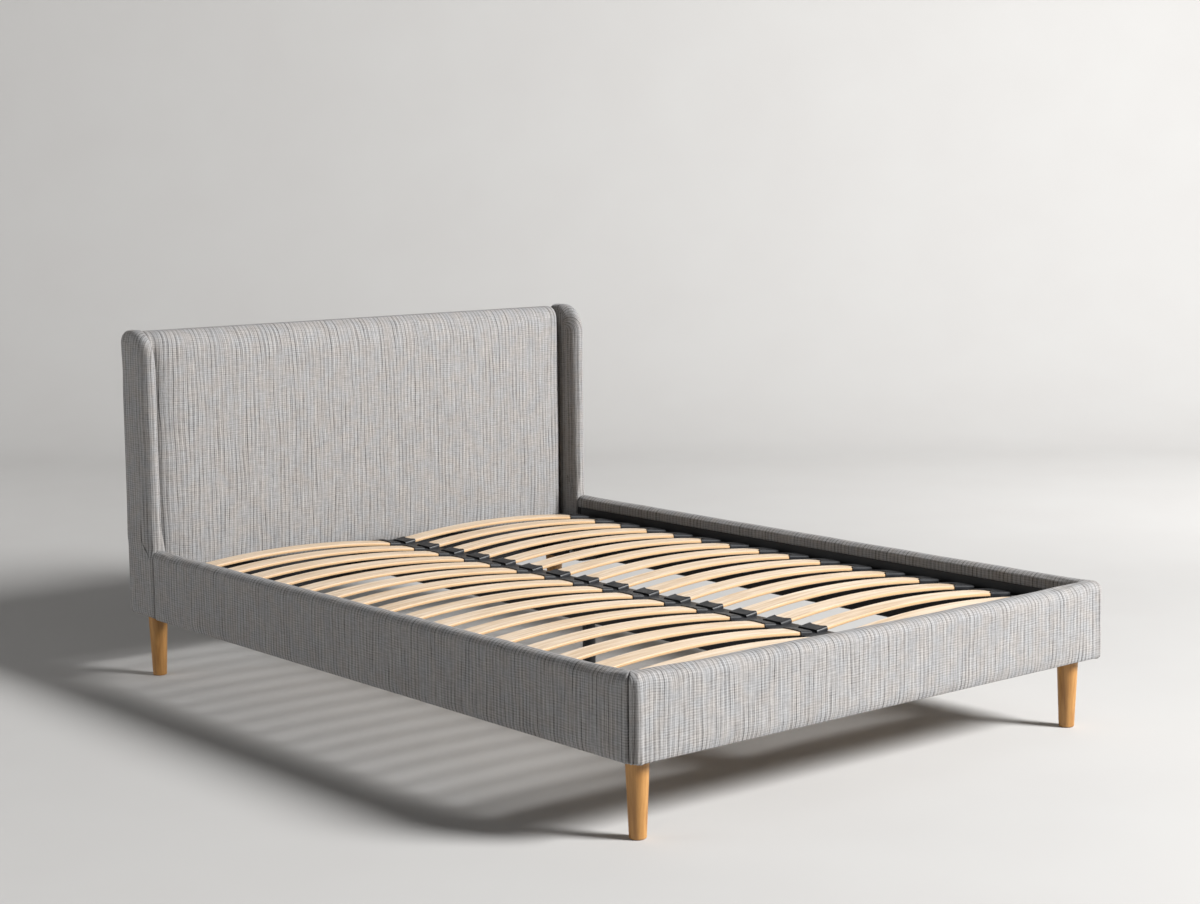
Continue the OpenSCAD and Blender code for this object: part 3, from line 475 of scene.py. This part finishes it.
fine = np.array([0.0, 1.2, 2.6, 4.2, 6.0, 8.0, 10.5, 13.5, 17.0, 21.0, 26.0, 32.0, 38.0]) * MM
middle = np.linspace(-(straight - 44 * MM), straight - 44 * MM, 116)


def foot_rail():
    """P goes from the left seam over the pleat, along the front and to the right seam: a straight slanting facet,
    a small arc and the straight front. Q goes along the inner face in the same share of its length."""
    whole = straight + beyond_run
    lead = np.concatenate([-whole + to_seam, -straight + fine])
    s = np.concatenate([lead, middle, -lead[::-1]])
    beyond = np.clip(np.abs(s) - straight, 0, None)     # cloth used beyond the straight front
    turn = np.clip(beyond / CORNER_R, 0, slant)
    slide = np.clip(beyond - CORNER_R * slant, 0, None)
    side = np.sign(s)
    x = np.minimum(np.abs(s), straight) + CORNER_R * np.sin(turn) + slide * math.cos(slant)
    p = np.stack([side * x, Y_FOOT + CORNER_R * (1 - np.cos(turn)) + slide * math.sin(slant)], axis=1)
    q = np.stack([s / whole * X_IN, np.full_like(s, Y_FOOT_IN)], axis=1)
    outward = np.stack([side * np.sin(turn), -np.cos(turn)], axis=1)
    from_seam = whole - np.abs(s)
    p = drawn_in(p, q, GROOVE * np.exp(-from_seam / GROOVE_W))

    def push(v):
        top = 2 * INNER_DROP + FOOT_T - 2 * EDGE_R
        face = np.clip((v - top) / (30 * MM), 0, 1)     # the pleat fades out over the top edge
        creases = sum(-depth * np.exp(-((from_seam - at) / CREASE_W) ** 2) for at, depth in CREASES)
        lap = LAP * np.exp(-((from_seam - beyond_run - LAP_IN) / LAP_W) ** 2)
        return (creases + lap)[:, None] * face

    extra = side * (np.abs(s) - x)
    return rail_pad("foot_rail_pad", q, p, outward, extra, push, cloth_axis=0, seed=23)


foot_pad = foot_rail()

# %% [markdown]
# ## Wings
# A wing is a short board with foam on both faces and a rolled edge. Its outline is four arcs joined by straight
# lines. The two faces are Coons patches, which fill four border curves evenly: the sum of the two blends of
# opposite borders less the blend of the corners. A band between them rolls over the edge.

# %% Wing pads
wing_low, wing_high = (np.array(c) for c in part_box("wing_pad_right"))
frame_high, blocks_high = (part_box(name)[1] for name in ("headboard_frame", "corner_blocks"))
WING_T = wing_high[0] - wing_low[0]
FRONT_R, BACK_R, FOOT_R, PRESSED_R = 80 * MM, 33 * MM, 16 * MM, 5 * MM
ROLL_X = 19 * MM                                    # the roll's share of the thickness
ROLL_FRONT, ROLL_BACK = 44 * MM, 14 * MM            # how far it reaches in, at the front edge and at the back
PRESSED_IN, PRESSED_OUT = (-20 * MM, 80 * MM), (-36 * MM, 46 * MM)     # above the rail: the roll's start, and its run
WING_FULL = 1.5 * MM                                # how far a wing's faces bulge


def wing_outline():
    """Border points and outward normals of the four sides: bottom, back, top and front."""
    y0, y1, z0, z1 = wing_low[1], wing_high[1], wing_low[2], wing_high[2]
    centres = {"fl": (y0 + FOOT_R, z0 + FOOT_R, FOOT_R, 225), "bl": (y1 - FOOT_R, z0 + FOOT_R, FOOT_R, 315),
               "bt": (y1 - BACK_R, z1 - BACK_R, BACK_R, 45), "ft": (y0 + FRONT_R, z1 - FRONT_R, FRONT_R, 135)}

    def side(a, b, n_a, n_mid, n_b):
        """Half an arc, a straight line and half an arc, from the middle of corner a to the middle of corner b."""
        (ya, za, ra, ta), (yb, zb, rb, tb) = centres[a], centres[b]
        turns = (np.radians(np.linspace(t, t + 45, n + 1)) for t, n in ((ta, n_a), (tb - 45, n_b)))
        first, last = (np.stack([np.cos(t), np.sin(t)], axis=1) for t in turns)
        pa, pb = [ya, za] + ra * first, [yb, zb] + rb * last
        between = np.linspace(pa[-1], pb[0], n_mid + 1)[1:-1]
        return np.concatenate([pa, between, pb]), np.concatenate([first, np.repeat(first[-1:], n_mid - 1, 0), last])

    bottom, back = side("fl", "bl", 3, 8, 3), side("bl", "bt", 3, 56, 6)
    top, front = side("bt", "ft", 4, 3, 7), side("ft", "fl", 6, 56, 3)
    return bottom, back, top, front


def coons(bottom, back, top, front):
    """Fill four borders. bottom and top run front to back, front and back run upwards."""
    u, v = np.linspace(0, 1, len(bottom))[None, :, None], np.linspace(0, 1, len(front))[:, None, None]
    return ((1 - v) * bottom[None] + v * top[None] + (1 - u) * front[:, None] + u * back[:, None]
            - (1 - u) * (1 - v) * bottom[0] - u * (1 - v) * bottom[-1] - (1 - u) * v * top[0] - u * v * top[-1])


def wing(side):
    """Two faces and a band. Ring k of the band is the outline drawn in by d, at x, along a quarter ellipse."""
    sides = wing_outline()
    border = np.concatenate([points[:-1] for points, _ in sides] + [sides[0][0][:1]])
    normal = np.concatenate([n[:-1] for _, n in sides] + [sides[0][1][:1]])
    ahead = np.clip(0.25 - normal[:, 0], 0, 1) ** 1.5      # 1 at the front edge, 0 at the back

    def edge(begin, over):
        """How far an edge's roll reaches in, and its share of the thickness. Below the top of the rail the
        rail's end presses it square."""
        free = np.clip((border[:, 1] - Z_RAIL - begin) / over, 0, 1)
        free = np.where(normal[:, 0] < -0.5, free ** 2 * (3 - 2 * free), 1.0)
        return (PRESSED_R + (ROLL_BACK + (far - ROLL_BACK) * ahead - PRESSED_R) * free
                for far in (ROLL_FRONT, ROLL_X))

    (roll_in, thick_in), (roll_out, thick_out) = edge(*PRESSED_IN), edge(*PRESSED_OUT)
    fi = np.linspace(0, np.pi / 2, 8)
    quarter_in, quarter_x = 1 - np.sin(fi), 1 - np.cos(fi)
    drawn = np.concatenate([np.outer(quarter_in, roll_in), np.zeros((3, len(border))),
                            np.outer(quarter_in[::-1], roll_out)])
    flat = np.linspace(thick_in, WING_T - thick_out, 5)[1:-1]
    across = np.concatenate([np.outer(quarter_x, thick_in), flat, WING_T - np.outer(quarter_x[::-1], thick_out)])
    rings = border[None] - normal[None] * drawn[..., None]
    x = side * (wing_low[0] + across)
    band = np.concatenate([x[..., None], rings], axis=2)
    run = np.concatenate([np.zeros((1, len(border))),
                          np.hypot(np.diff(drawn, axis=0), np.diff(across, axis=0)).cumsum(axis=0)])
    # Cloth of the band: the outer face's cloth goes on round the edge along the outline's normal
    over_edge = run[-1] - run
    band_cloth = rings[-1][None] + normal[None] * over_edge[..., None]

    counts = [len(points) for points, _ in sides]
    ends = np.cumsum([0] + [c - 1 for c in counts])

    def face(k):
        """Face grid whose border is ring k of the band."""
        ring = np.concatenate([rings[k], x[k][:, None]], axis=1)
        bottom, back, top, front = (ring[a:b + 1] for a, b in zip(ends, ends[1:]))
        grid = coons(bottom, back, top[::-1], front[::-1])
        return grid[..., [2, 0, 1]], grid[..., :2]

    inner_face, inner_cloth = face(0)
    outer_face, outer_cloth = face(-1)
    for grid, way in ((inner_face, -1), (outer_face, 1)):
        u = np.linspace(-1, 1, grid.shape[1])[None, :]
        v = np.linspace(-1, 1, grid.shape[0])[:, None]
        grid[..., 0] += side * way * WING_FULL * (1 - u ** 2) * (1 - v ** 8)
    # The inner face is cut from another part of the cloth, two metres along
    inner_cloth = inner_cloth + [2.0, 0.0]
    grids = [(band, band_cloth), (inner_face[:, ::-1], inner_cloth[:, ::-1]), (outer_face, outer_cloth)]
    return skin("wing_pad_cover_" + SIDES[side], grids)


wings = {side: wing(side) for side in SIDES}

# %% [markdown]
# ## Headboard
# The panel is foam on a plywood skin, in one cover that goes over the top and is stapled behind. Its face is
# full in the middle, and at both ends the cover dives into the gap beside the wing. The photograph shows it
# falling away early on the left, over two fingers' width, and late and sharply on the right.

# %% Headboard pad
head_low, head_high = (np.array(c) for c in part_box("headboard_pad"))
Y_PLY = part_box("headboard_board")[0][1]
HEAD_TOP_R, HEAD_BACK_R = 36 * MM, 15 * MM
HEAD_CROWN, HEAD_DRAW = 8 * MM, 22 * MM
HEAD_FALL = ((75 * MM, 48 * MM), (21 * MM, 14 * MM))    # left and right: where the fall begins, and over how much
HEAD_ENDS = (np.array([0, 6, 13, 19, 23.5, 26, 27, 27.6, 28.6, 30, 32, 35, 39, 44, 50, 57, 65, 75, 88]) * MM,
             np.array([0, 3, 5.5, 6.6, 7, 7.3, 7.9, 8.8, 10, 11.8, 14, 17, 21, 27, 36, 48, 60, 74, 88]) * MM)
HEAD_EVEN = 102 * MM                    # from here inwards the sections are evenly spaced
HEAD_NOTCH, HEAD_NOTCH_W = 8 * MM, 22 * MM
HEAD_SKIRT = 22 * MM                    # the cover hangs this far below the pad, over the plywood's edge
HEAD_FOAM_IN = 0.05
HEAD_UNEVEN, HEAD_UNEVEN_WAVE = 0.8 * MM, 240 * MM
WAVER, WAVER_WAVE = 0.18, 220 * MM      # the sides waver, as a cover does where it's pulled into a gap by hand
TOP_FADE = 100 * MM                     # on the left the fall fades out over this height below the top


def headboard():
    """Upright sections from side to side: up the face, round the top and down behind it.
    The face lies back by HEAD_CROWN (1 - (1 - x^4)(1 - z^4)), with x and z from -1 to 1 across and up it. Near each
    end it's drawn back by HEAD_DRAW (1 - sqrt(1 - t^2)) too, a quarter circle in t, and the top is lowered so."""
    half = head_high[0] - 0.5 * MM
    x = np.concatenate([-half + HEAD_ENDS[0], np.linspace(-half + HEAD_EVEN, half - HEAD_EVEN, 86),
                        half - HEAD_ENDS[1][::-1]])[:, None]
    left = x < 0
    begin, over = (np.where(left, a, b) for a, b in zip(*HEAD_FALL))
    z0, z1, y_back = head_low[2] - HEAD_SKIRT, head_high[2], head_high[1]
    face = np.linspace(z0, z1 - HEAD_TOP_R, 50)[None, :]
    turn, back = np.linspace(0, np.pi / 2, 10), np.linspace(0, np.pi / 2, 6)
    waver = 1 + WAVER * waves(np.sign(x) * 3.0 + 0 * face, face + 0 * x, WAVER_WAVE, 5)
    t = np.clip((np.abs(x) - half + begin) / over, 0, 1)
    drawn = HEAD_DRAW * (1 - np.sqrt(1 - t ** 2))
    up = 1 - np.abs(2 * (face - z0) / (z1 - z0) - 1) ** 4
    sides = 1 - (np.abs(x) / X_OUT) ** 4
    fade = np.where(left, np.clip((z1 - face) / TOP_FADE, 0, 1), 1.0)
    front = head_low[1] + HEAD_CROWN * (1 - sides * up) + drawn * fade * waver
    near = np.clip((np.abs(x) - half) / HEAD_NOTCH_W + 1, 0, 1)
    notch = HEAD_NOTCH * (1 - np.sqrt(1 - near ** 2))
    arc_y = front[:, -1:] + HEAD_TOP_R * (1 - np.cos(turn))
    arc_z = z1 - HEAD_TOP_R + (HEAD_TOP_R - notch) * np.sin(turn)
    back_y = y_back - HEAD_BACK_R + (HEAD_BACK_R - notch / 2) * np.sin(back)
    back_z = z1 - HEAD_BACK_R + (HEAD_BACK_R - notch) * np.cos(back)
    flat_y = arc_y[:, -1:] + (back_y[:, :1] - arc_y[:, -1:]) * np.linspace(0, 1, 4)[1:-1]
    flat_z = arc_z[:, -1:] + 0 * flat_y
    y = np.concatenate([front[:, :-1], arc_y, flat_y, back_y, back_y[:, -1:]], axis=1)
    z = np.concatenate([face[:, :-1] + 0 * x, arc_z, flat_z, back_z, np.full_like(x, frame_high[2])], axis=1)
    x = x + 0 * z
    y = y + HEAD_UNEVEN * waves(x, z, HEAD_UNEVEN_WAVE, 31) * (z < z1 - HEAD_TOP_R)
    outer = np.stack([x, y, z], axis=2)
    y_in, z_in = np.clip(y, Y_PLY, y_back), np.clip(z, z0, frame_high[2])
    inner = np.stack([x, y_in + (y - y_in) * HEAD_FOAM_IN, z_in + (z - z_in) * HEAD_FOAM_IN], axis=2)
    # The last point is on the frame already, so there the inner skin lies a hair in front of it
    inner[:, -1, 1] -= 0.5 * MM
    mid = len(x) // 2
    length = np.concatenate([[0.0], np.hypot(np.diff(y[mid]), np.diff(z[mid])).cumsum()])
    return skin("headboard_cover", shell(outer, inner, np.stack([x, length + 0 * z], axis=2)))


head_pad = headboard()

# %% [markdown]
# ## Filling the covers
# The covers swell now. What is stapled or hidden is held: the faces against the boards, the hems, and the
# borders that lie in a seam.

def keep_clear_of_frame(piece):
    """Inside the bed the wing's foam stops at the headboard's frame and at the corner blocks."""
    co = read_points(piece.data)
    behind = (co[:, 1] > Y_PLY + 4 * MM) & (co[:, 2] < frame_high[2])
    below = co[:, 2] < blocks_high[2]
    inside = np.abs(co[:, 0]) < frame_high[0]
    co[:, 0] = np.where((behind | below) & inside, np.sign(co[:, 0]) * frame_high[0], co[:, 0])
    write_points(piece.data, co)


def rail_held(co):
    """Held: the face towards the bed, the foam's inner skin, the hem below and both ends."""
    inner = (np.abs(co[:, 0]) < board_high[0] + 3 * MM) & (co[:, 2] < board_high[2] + 3 * MM)
    mitre = (co[:, 1] - Y_FOOT_IN) + SEAM_DY / SIDE_T * (np.abs(co[:, 0]) - X_IN) < 9 * MM
    return inner | (co[:, 2] < Z_LOW + 2 * MM) | (co[:, 1] > Y_WING - END_R) | mitre


def foot_held(co):
    """Held: the inner skin, the hem and the corners with their seams and pleats."""
    inner = (co[:, 1] > Y_FOOT + FOOT_T - WRAP - BOARD_T - 3 * MM) & (co[:, 2] < board_high[2] + 3 * MM)
    near_corner = np.abs(co[:, 0]) > X_OUT - 55 * MM
    return inner | (co[:, 2] < Z_LOW + 2 * MM) | near_corner


def wing_held(co):
    """Held: the face towards the bed and the edges that meet the rail."""
    return (np.abs(co[:, 0]) < wing_low[0] + 2 * MM) | (co[:, 2] < Z_RAIL)


def head_held(co):
    """Held: the inner skin, the back and the sides that dive into the gaps."""
    return (co[:, 1] > Y_PLY - 6 * MM) | (np.abs(co[:, 0]) > head_high[0] - 60 * MM)


for side, piece in side_pads.items():
    fill_out(piece, rail_held, 3 * MM)
    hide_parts("side_pad_" + SIDES[side])
fill_out(foot_pad, foot_held, 4 * MM)
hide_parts("foot_pad")
for side, piece in wings.items():
    fill_out(piece, wing_held, 2.5 * MM)
    keep_clear_of_frame(piece)
    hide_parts("wing_pad_" + SIDES[side])
fill_out(head_pad, head_held, 5 * MM)
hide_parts("headboard_pad")
for piece in (*side_pads.values(), foot_pad, *wings.values(), head_pad):
    smooth = piece.modifiers.new("smooth", "SUBSURF")
    smooth.levels = smooth.render_levels = 1
    smooth.uv_smooth = "PRESERVE_BOUNDARIES"
    piece.data.materials.append(fabric)
    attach(piece, "frame")

# %% [markdown]
# ## Bent birch slats
# A sprung slat is seven beech or birch veneers, glued and bent in a hot press. The top is a clear pale veneer
# with long faint grain, sealed with a thin lacquer, and the grain's pale streaks are lightened further as painted
# highlight for the lacquer's shine. The edges are sawn, so they show the plies as fine lines, a little browner
# where the glue is. The distance from the bend's axis gives each point its ply.

# %% Slat finish
slat_low, slat_high = (np.array(c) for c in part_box("slat_right_01"))
SLAT_T, PLIES = 8 * MM, 7
slat_middle = (slat_low[0] + slat_high[0]) / 2
slat_half = (slat_high[0] - slat_low[0]) / 2
rise = slat_high[2] - slat_low[2] - SLAT_T
bend_r = (slat_half ** 2 + rise ** 2) / (2 * rise) + SLAT_T
axis_z = slat_high[2] - bend_r

birch, tree, shader, place = new_finish("birch_ply_lacquered", Roughness=0.42, Coat_Weight=0.15, Coat_Roughness=0.3)
part = node(tree, "SeparateXYZ", {0: place}).outputs
facing = node(tree, "SeparateXYZ", {0: node(tree, "NewGeometry").outputs["Normal"]}).outputs
# A cell of the grain is 9 mm wide and 40 cm long, coarser than real grain, so that a render shows it
grain_at = node(tree, "VectorMath", {0: place, 1: (2.6, 115.0, 115.0)}, operation="MULTIPLY")
grain = node(tree, "TexNoise", {"Vector": grain_at, "Scale": 1.0, "Detail": 3.0, "Distortion": 0.4})
# The tone changes from slat to slat, over 11 cm
board_at = node(tree, "VectorMath", {0: place, 1: (0.9, 8.8, 0.0)}, operation="MULTIPLY")
board_tone = node(tree, "TexNoise", {"Vector": board_at, "Scale": 1.0, "Detail": 1.0})
grain_and_highlight_mix = node(tree, "MapRange", {0: grain, 1: 0.3, 2: 0.7})
# The light end of this mix is partly painted highlight: streaks paler than the veneer, standing for the lacquer's
# shine
top = node(tree, "Mix", {0: grain_and_highlight_mix, 6: "#d3bb9c", 7: "#f5eadd"}, data_type="RGBA")
shade = node(tree, "Mix", {0: board_tone, 6: "#fff6ea", 7: "#f6e6cf"}, data_type="RGBA")
top = node(tree, "Mix", {0: 0.8, 6: top, 7: shade}, data_type="RGBA", blend_type="MULTIPLY")
off_middle = node(tree, "Math", {0: node(tree, "Math", {0: part[0]}, operation="ABSOLUTE"),
                                 1: slat_middle}, operation="SUBTRACT")
above_axis = node(tree, "Math", {0: part[2], 1: axis_z}, operation="SUBTRACT")
arm = node(tree, "CombineXYZ", {0: off_middle, 2: above_axis})
reach = node(tree, "VectorMath", {0: arm}, operation="LENGTH")
depth = node(tree, "Math", {0: reach, 1: bend_r - SLAT_T}, operation="SUBTRACT")
ply = node(tree, "Math", {0: depth, 1: PLIES / SLAT_T}, operation="MULTIPLY")
glue = node(tree, "Math", {0: ply, 1: 1.0}, operation="PINGPONG")
edge_tone = node(tree, "Mix", {0: glue, 6: "#b48e63", 7: "#dcbb92"}, data_type="RGBA")
sideways = node(tree, "Math", {0: node(tree, "Math", {0: facing[2]}, operation="ABSOLUTE"), 1: 0.8},
                operation="LESS_THAN")
slat_colour = node(tree, "Mix", {0: sideways, 6: top, 7: edge_tone}, data_type="RGBA")
slat_bump = node(tree, "Bump", {"Strength": 0.25, "Distance": 0.2 * MM, "Height": grain})
join_shader(tree, shader, Base_Color=slat_colour, Normal=slat_bump)
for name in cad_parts:
    if name.startswith("slat_left_") or name.startswith("slat_right_"):
        wear(name, birch)
print("slat bend radius", round(bend_r, 3), "m about z =", round(axis_z, 3))

# %% [markdown]
# ## Turned oak legs
# The legs are turned from straight-grained oak and sealed with a satin oil. Turning cuts the growth rings at a
# shallow angle, so the grain runs up the leg in long narrow flames, with short dark pores in it.

# %% Leg finish
oak, tree, shader, place = new_finish("turned_oak_satin_oil", Roughness=0.45, Coat_Weight=0.12, Coat_Roughness=0.35)
# Flames 11 mm wide and 14 cm long, pores 1.6 mm wide and 14 mm long, both coarser than in real oak
flame_at = node(tree, "VectorMath", {0: place, 1: (95.0, 95.0, 7.0)}, operation="MULTIPLY")
flame = node(tree, "TexNoise", {"Vector": flame_at, "Scale": 1.0, "Detail": 3.0, "Distortion": 0.8})
pore_at = node(tree, "VectorMath", {0: place, 1: (620.0, 620.0, 70.0)}, operation="MULTIPLY")
pore = node(tree, "TexNoise", {"Vector": pore_at, "Scale": 1.0, "Detail": 2.0})
flame_mix = node(tree, "MapRange", {0: flame, 1: 0.32, 2: 0.68})
body = node(tree, "Mix", {0: flame_mix, 6: "#9d6d37", 7: "#bd8c4e"}, data_type="RGBA")
pore_mix = node(tree, "MapRange", {0: pore, 1: 0.30, 2: 0.42, 3: 0.75})
pored = node(tree, "Mix", {0: pore_mix, 6: "#8f5c2a", 7: body}, data_type="RGBA")
leg_bump = node(tree, "Bump", {"Strength": 0.3, "Distance": 0.15 * MM, "Height": pore})
join_shader(tree, shader, Base_Color=pored, Normal=leg_bump)
legs = [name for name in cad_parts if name.startswith("leg_") and name != "leg_bolts"]
for name in legs:
    wear(name, oak)
print("finished in oak:", legs)

# %% [markdown]
# ## Moulded plastic, coated steel and bare timber
# The slat caps and saddles are injection-moulded polypropylene with a fine spark texture. The rails, beam and
# centre leg are steel with black powder coat, which has a faint orange peel. The boards are planed pine and the
# headboard's skin is poplar plywood, both coloured near black as painted shade, because they show only in the gaps
# where shade falls. The thin black cover behind is a spun-bonded fleece with a dimpled pattern. A short strip of
# the fleece hides the bare board between the end of each slat rail and the wing.

# %% Plastic, steel, timber, fleece and zinc
BLACK = {                   # dark and light, roughness from and to, wide noise, fine noise, bump and its height
    "moulded_polypropylene_charcoal": ("#101114", "#1d1f23", 0.42, 0.58, (26.0, 2.0), (900.0, 2.0), 0.35, 0.12 * MM),
    "powder_coated_steel_black": ("#111214", "#1e2023", 0.40, 0.56, (9.0, 3.0), (420.0, 1.0), 0.3, 0.1 * MM),
}
black = []
for name, (dark, light, sleek, dull, wide, fine_grain, strength, height) in BLACK.items():
    material, tree, shader, place = new_finish(name)
    # Cells a metre, and detail: the texture's are 1.1 and 2.4 mm, coarser than on real parts
    grit, haze = (node(tree, "TexNoise", {"Vector": place, "Scale": cells, "Detail": detail})
                  for cells, detail in (fine_grain, wide))
    tint = node(tree, "Mix", {0: haze, 6: dark, 7: light}, data_type="RGBA")
    matt = node(tree, "MapRange", {0: haze, 1: 0.3, 2: 0.7, 3: sleek, 4: dull})
    texture = node(tree, "Bump", {"Strength": strength, "Distance": height, "Height": grit})
    join_shader(tree, shader, Base_Color=tint, Roughness=matt, Normal=texture)
    black.append(material)
plastic, steel = black

# A ring is 17 mm wide and 20 cm long in the pine, and the plywood's grain 25 mm and 17 cm
timber = {}
# The timber's dark colours are painted shade: the boards show only in gaps, where shade falls
for name, pale, dark, lengthwise in (("cross_pine_painted_gap_shade", "#3e372f", "#2a241e", (5.0, 60.0, 60.0)),
                                     ("pine_painted_gap_shade", "#3b342e", "#28221d", (60.0, 5.0, 60.0)),
                                     ("poplar_plywood_painted_gap_shade", "#37312b", "#27221d", (40.0, 40.0, 6.0))):
    wood, tree, shader, place = new_finish(name, Roughness=0.62)
    ring_at = node(tree, "VectorMath", {0: place, 1: lengthwise}, operation="MULTIPLY")
    ring = node(tree, "TexNoise", {"Vector": ring_at, "Scale": 1.0, "Detail": 3.0, "Distortion": 1.2})
    ring_mix = node(tree, "MapRange", {0: ring, 1: 0.35, 2: 0.65})
    colour = node(tree, "Mix", {0: ring_mix, 6: dark, 7: pale}, data_type="RGBA")
    saw = node(tree, "Bump", {"Strength": 0.3, "Distance": 0.2 * MM, "Height": ring})
    join_shader(tree, shader, Base_Color=colour, Normal=saw)
    timber[name] = wood

fleece, tree, shader, place = new_finish("spun_bonded_fleece_black", Roughness=0.85, Sheen_Weight=0.1)
dimple = node(tree, "TexVoronoi", {"Vector": place, "Scale": 330.0}, feature="F1")
fibre = node(tree, "TexNoise", {"Vector": place, "Scale": 60.0, "Detail": 4.0})
felted = node(tree, "Mix", {0: fibre, 6: "#131315", 7: "#242427"}, data_type="RGBA")
dimples = node(tree, "Bump", {"Strength": 0.6, "Distance": 0.3 * MM, "Height": dimple})
join_shader(tree, shader, Base_Color=felted, Normal=dimples)

for side, word in SIDES.items():
    y, z = np.meshgrid([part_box("slat_rail_right")[1][1] + 0.3 * MM, Y_WING + 3 * MM],
                       [blocks_high[2], Z_RAIL - INNER_DROP + 4 * MM], indexing="ij")
    faces = [np.stack([side * (board_low[0] - depth) + 0 * y, y, z], axis=2) for depth in (2 * MM, 0.05 * MM)]
    strip = skin("joint_strip_" + word, shell(*faces, np.stack([y, z], axis=2)))
    strip.data.materials.append(fleece)
    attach(strip, "frame")

zinc, tree, shader, place = new_finish("zinc_plated_steel", Metallic=1.0)
bloom = node(tree, "TexNoise", {"Vector": place, "Scale": 240.0, "Detail": 3.0})
plated = node(tree, "Mix", {0: bloom, 6: "#b9bcc0", 7: "#d9dbdc"}, data_type="RGBA")
frost = node(tree, "MapRange", {0: bloom, 1: 0.3, 2: 0.7, 3: 0.28, 4: 0.45})
join_shader(tree, shader, Base_Color=plated, Roughness=frost)

FINISHES = (                # a finish, and the CAD nodes that wear it
    (plastic, ("slat_end_caps", "slat_saddles", "levelling_foot")),
    (steel, ("slat_rail_left", "slat_rail_right", "centre_beam", "beam_hangers", "centre_leg")),
    (fleece, ("dust_cloths",)),
    (zinc, ("frame_bolts", "leg_bolts")),
    (timber["poplar_plywood_painted_gap_shade"], ("headboard_board",)),
    (timber["cross_pine_painted_gap_shade"], ("headboard_frame", "wing_boards")),
    (timber["pine_painted_gap_shade"], ("side_board_left", "side_board_right", "foot_board", "corner_blocks")),
)
for material, names in FINISHES:
    for name in names:
        wear(name, material)
finished = [name for _, names in FINISHES for name in names]
bare = [name for name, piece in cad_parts.items()
        if not (piece.hide_render or name in finished or name.startswith(("slat_", "leg_")))]
print("nodes without a finish:", bare)

# %% [markdown]
# ## Floor, backdrop and light
# A product studio hangs a roll of paper and lets it run out over the floor, so that no line shows where the wall
# begins. One large soft lamp stands high at the front right and makes the long shadow. Two weak ones light the
# paper behind the bed, one on each side, and one at the back left lifts the faces that the big lamp doesn't reach.

# %% Floor and backdrop
SWEEP_BACK, SWEEP_R = 4.6, 2.2          # metres: where the paper begins to rise, and the radius of its curve
PAPER_FRONT, PAPER_TOP, PAPER_SIDE = -9.0, 9.0, 14.0


def sweep():
    """(y, z) along the paper: level to SWEEP_BACK, a quarter circle of radius SWEEP_R, then straight up."""
    turn = np.linspace(0, np.pi / 2, 24)
    y = np.concatenate([[PAPER_FRONT, -4.0, 0.0], SWEEP_BACK + SWEEP_R * np.sin(turn), [SWEEP_BACK + SWEEP_R]])
    z = np.concatenate([[0.0, 0.0, 0.0], SWEEP_R * (1 - np.cos(turn)), [PAPER_TOP]])
    x = np.array([-PAPER_SIDE, -6.0, 0.0, 6.0, PAPER_SIDE])
    # The paper faces the camera, so the sweep is turned with it about the bed
    across, away = np.meshgrid(x, y, indexing="ij")
    height = np.broadcast_to(z, across.shape)
    grid = np.stack([across * math.cos(yaw) + away * math.sin(yaw), away * math.cos(yaw) - across * math.sin(yaw),
                     height], axis=2)
    rows, cols = across.shape
    index = np.arange(rows * cols).reshape(rows, cols)
    quads = np.stack([index[:-1, :-1], index[1:, :-1], index[1:, 1:], index[:-1, 1:]], -1).reshape(-1, 4)
    mesh = bpy.data.meshes.new("studio_paper")
    mesh.from_pydata(grid.reshape(-1, 3).tolist(), [], quads.tolist())
    mesh.shade_smooth()
    paper = bpy.data.objects.new("studio_paper", mesh)
    scene.collection.objects.link(paper)
    return paper


paper = sweep()
paper_finish, tree, shader, place = new_finish("studio_paper_pale_grey", Roughness=0.85, Specular_IOR_Level=0.2)
pulp = node(tree, "TexNoise", {"Vector": place, "Scale": 2.5, "Detail": 2.0})
sheet = node(tree, "Mix", {0: pulp, 6: "#c1bfbd", 7: "#c5c4c2"}, data_type="RGBA")
join_shader(tree, shader, Base_Color=sheet)
paper.data.materials.append(paper_finish)
print("paper from", PAPER_FRONT, "to", SWEEP_BACK + SWEEP_R, "m")

# %% Lamps and world
LAMPS = {                   # place, aim, size in metres, watts
    "key": ((4.3, -7.8, 5.9), (0.1, 0.0, 0.3), 3.2, 2180.0),
    "paper right": ((3.4, 0.05, 2.9), (6.6, 3.3, 1.5), 2.6, 60.0),
    "side": ((-4.5, 2.2, 1.4), (-0.7, 0.2, 0.3), 2.5, 54.0),
    "paper left": ((-2.2, 4.2, 2.6), (0.2, 8.2, 1.0), 2.6, 46.0),
}
for name, (at, aim, size, watts) in LAMPS.items():
    lamp = bpy.data.objects.new(name, bpy.data.lights.new(name, "AREA"))
    scene.collection.objects.link(lamp)
    lamp.data.shape = "DISK"
    lamp.data.size = size
    lamp.data.energy = watts
    back = np.array(at) - np.array(aim)
    back = back / np.linalg.norm(back)
    left = np.cross([0.0, 0.0, 1.0], back)
    left = left / np.linalg.norm(left)
    stand = np.eye(4)
    stand[:3, :3] = np.stack([left, np.cross(back, left), back], axis=1)
    stand[:3, 3] = at
    lamp.matrix_world = stand.T.tolist()
print("lamps", {name: f"{watts:.0f} W" for name, (at, aim, size, watts) in LAMPS.items()})

world = bpy.data.worlds.new("room")
world.use_nodes = True
plug(world.node_tree, world.node_tree.nodes["Background"], {0: "#e9ebee", 1: 0.05})
scene.world = world
scene.view_settings.view_transform = "Standard"
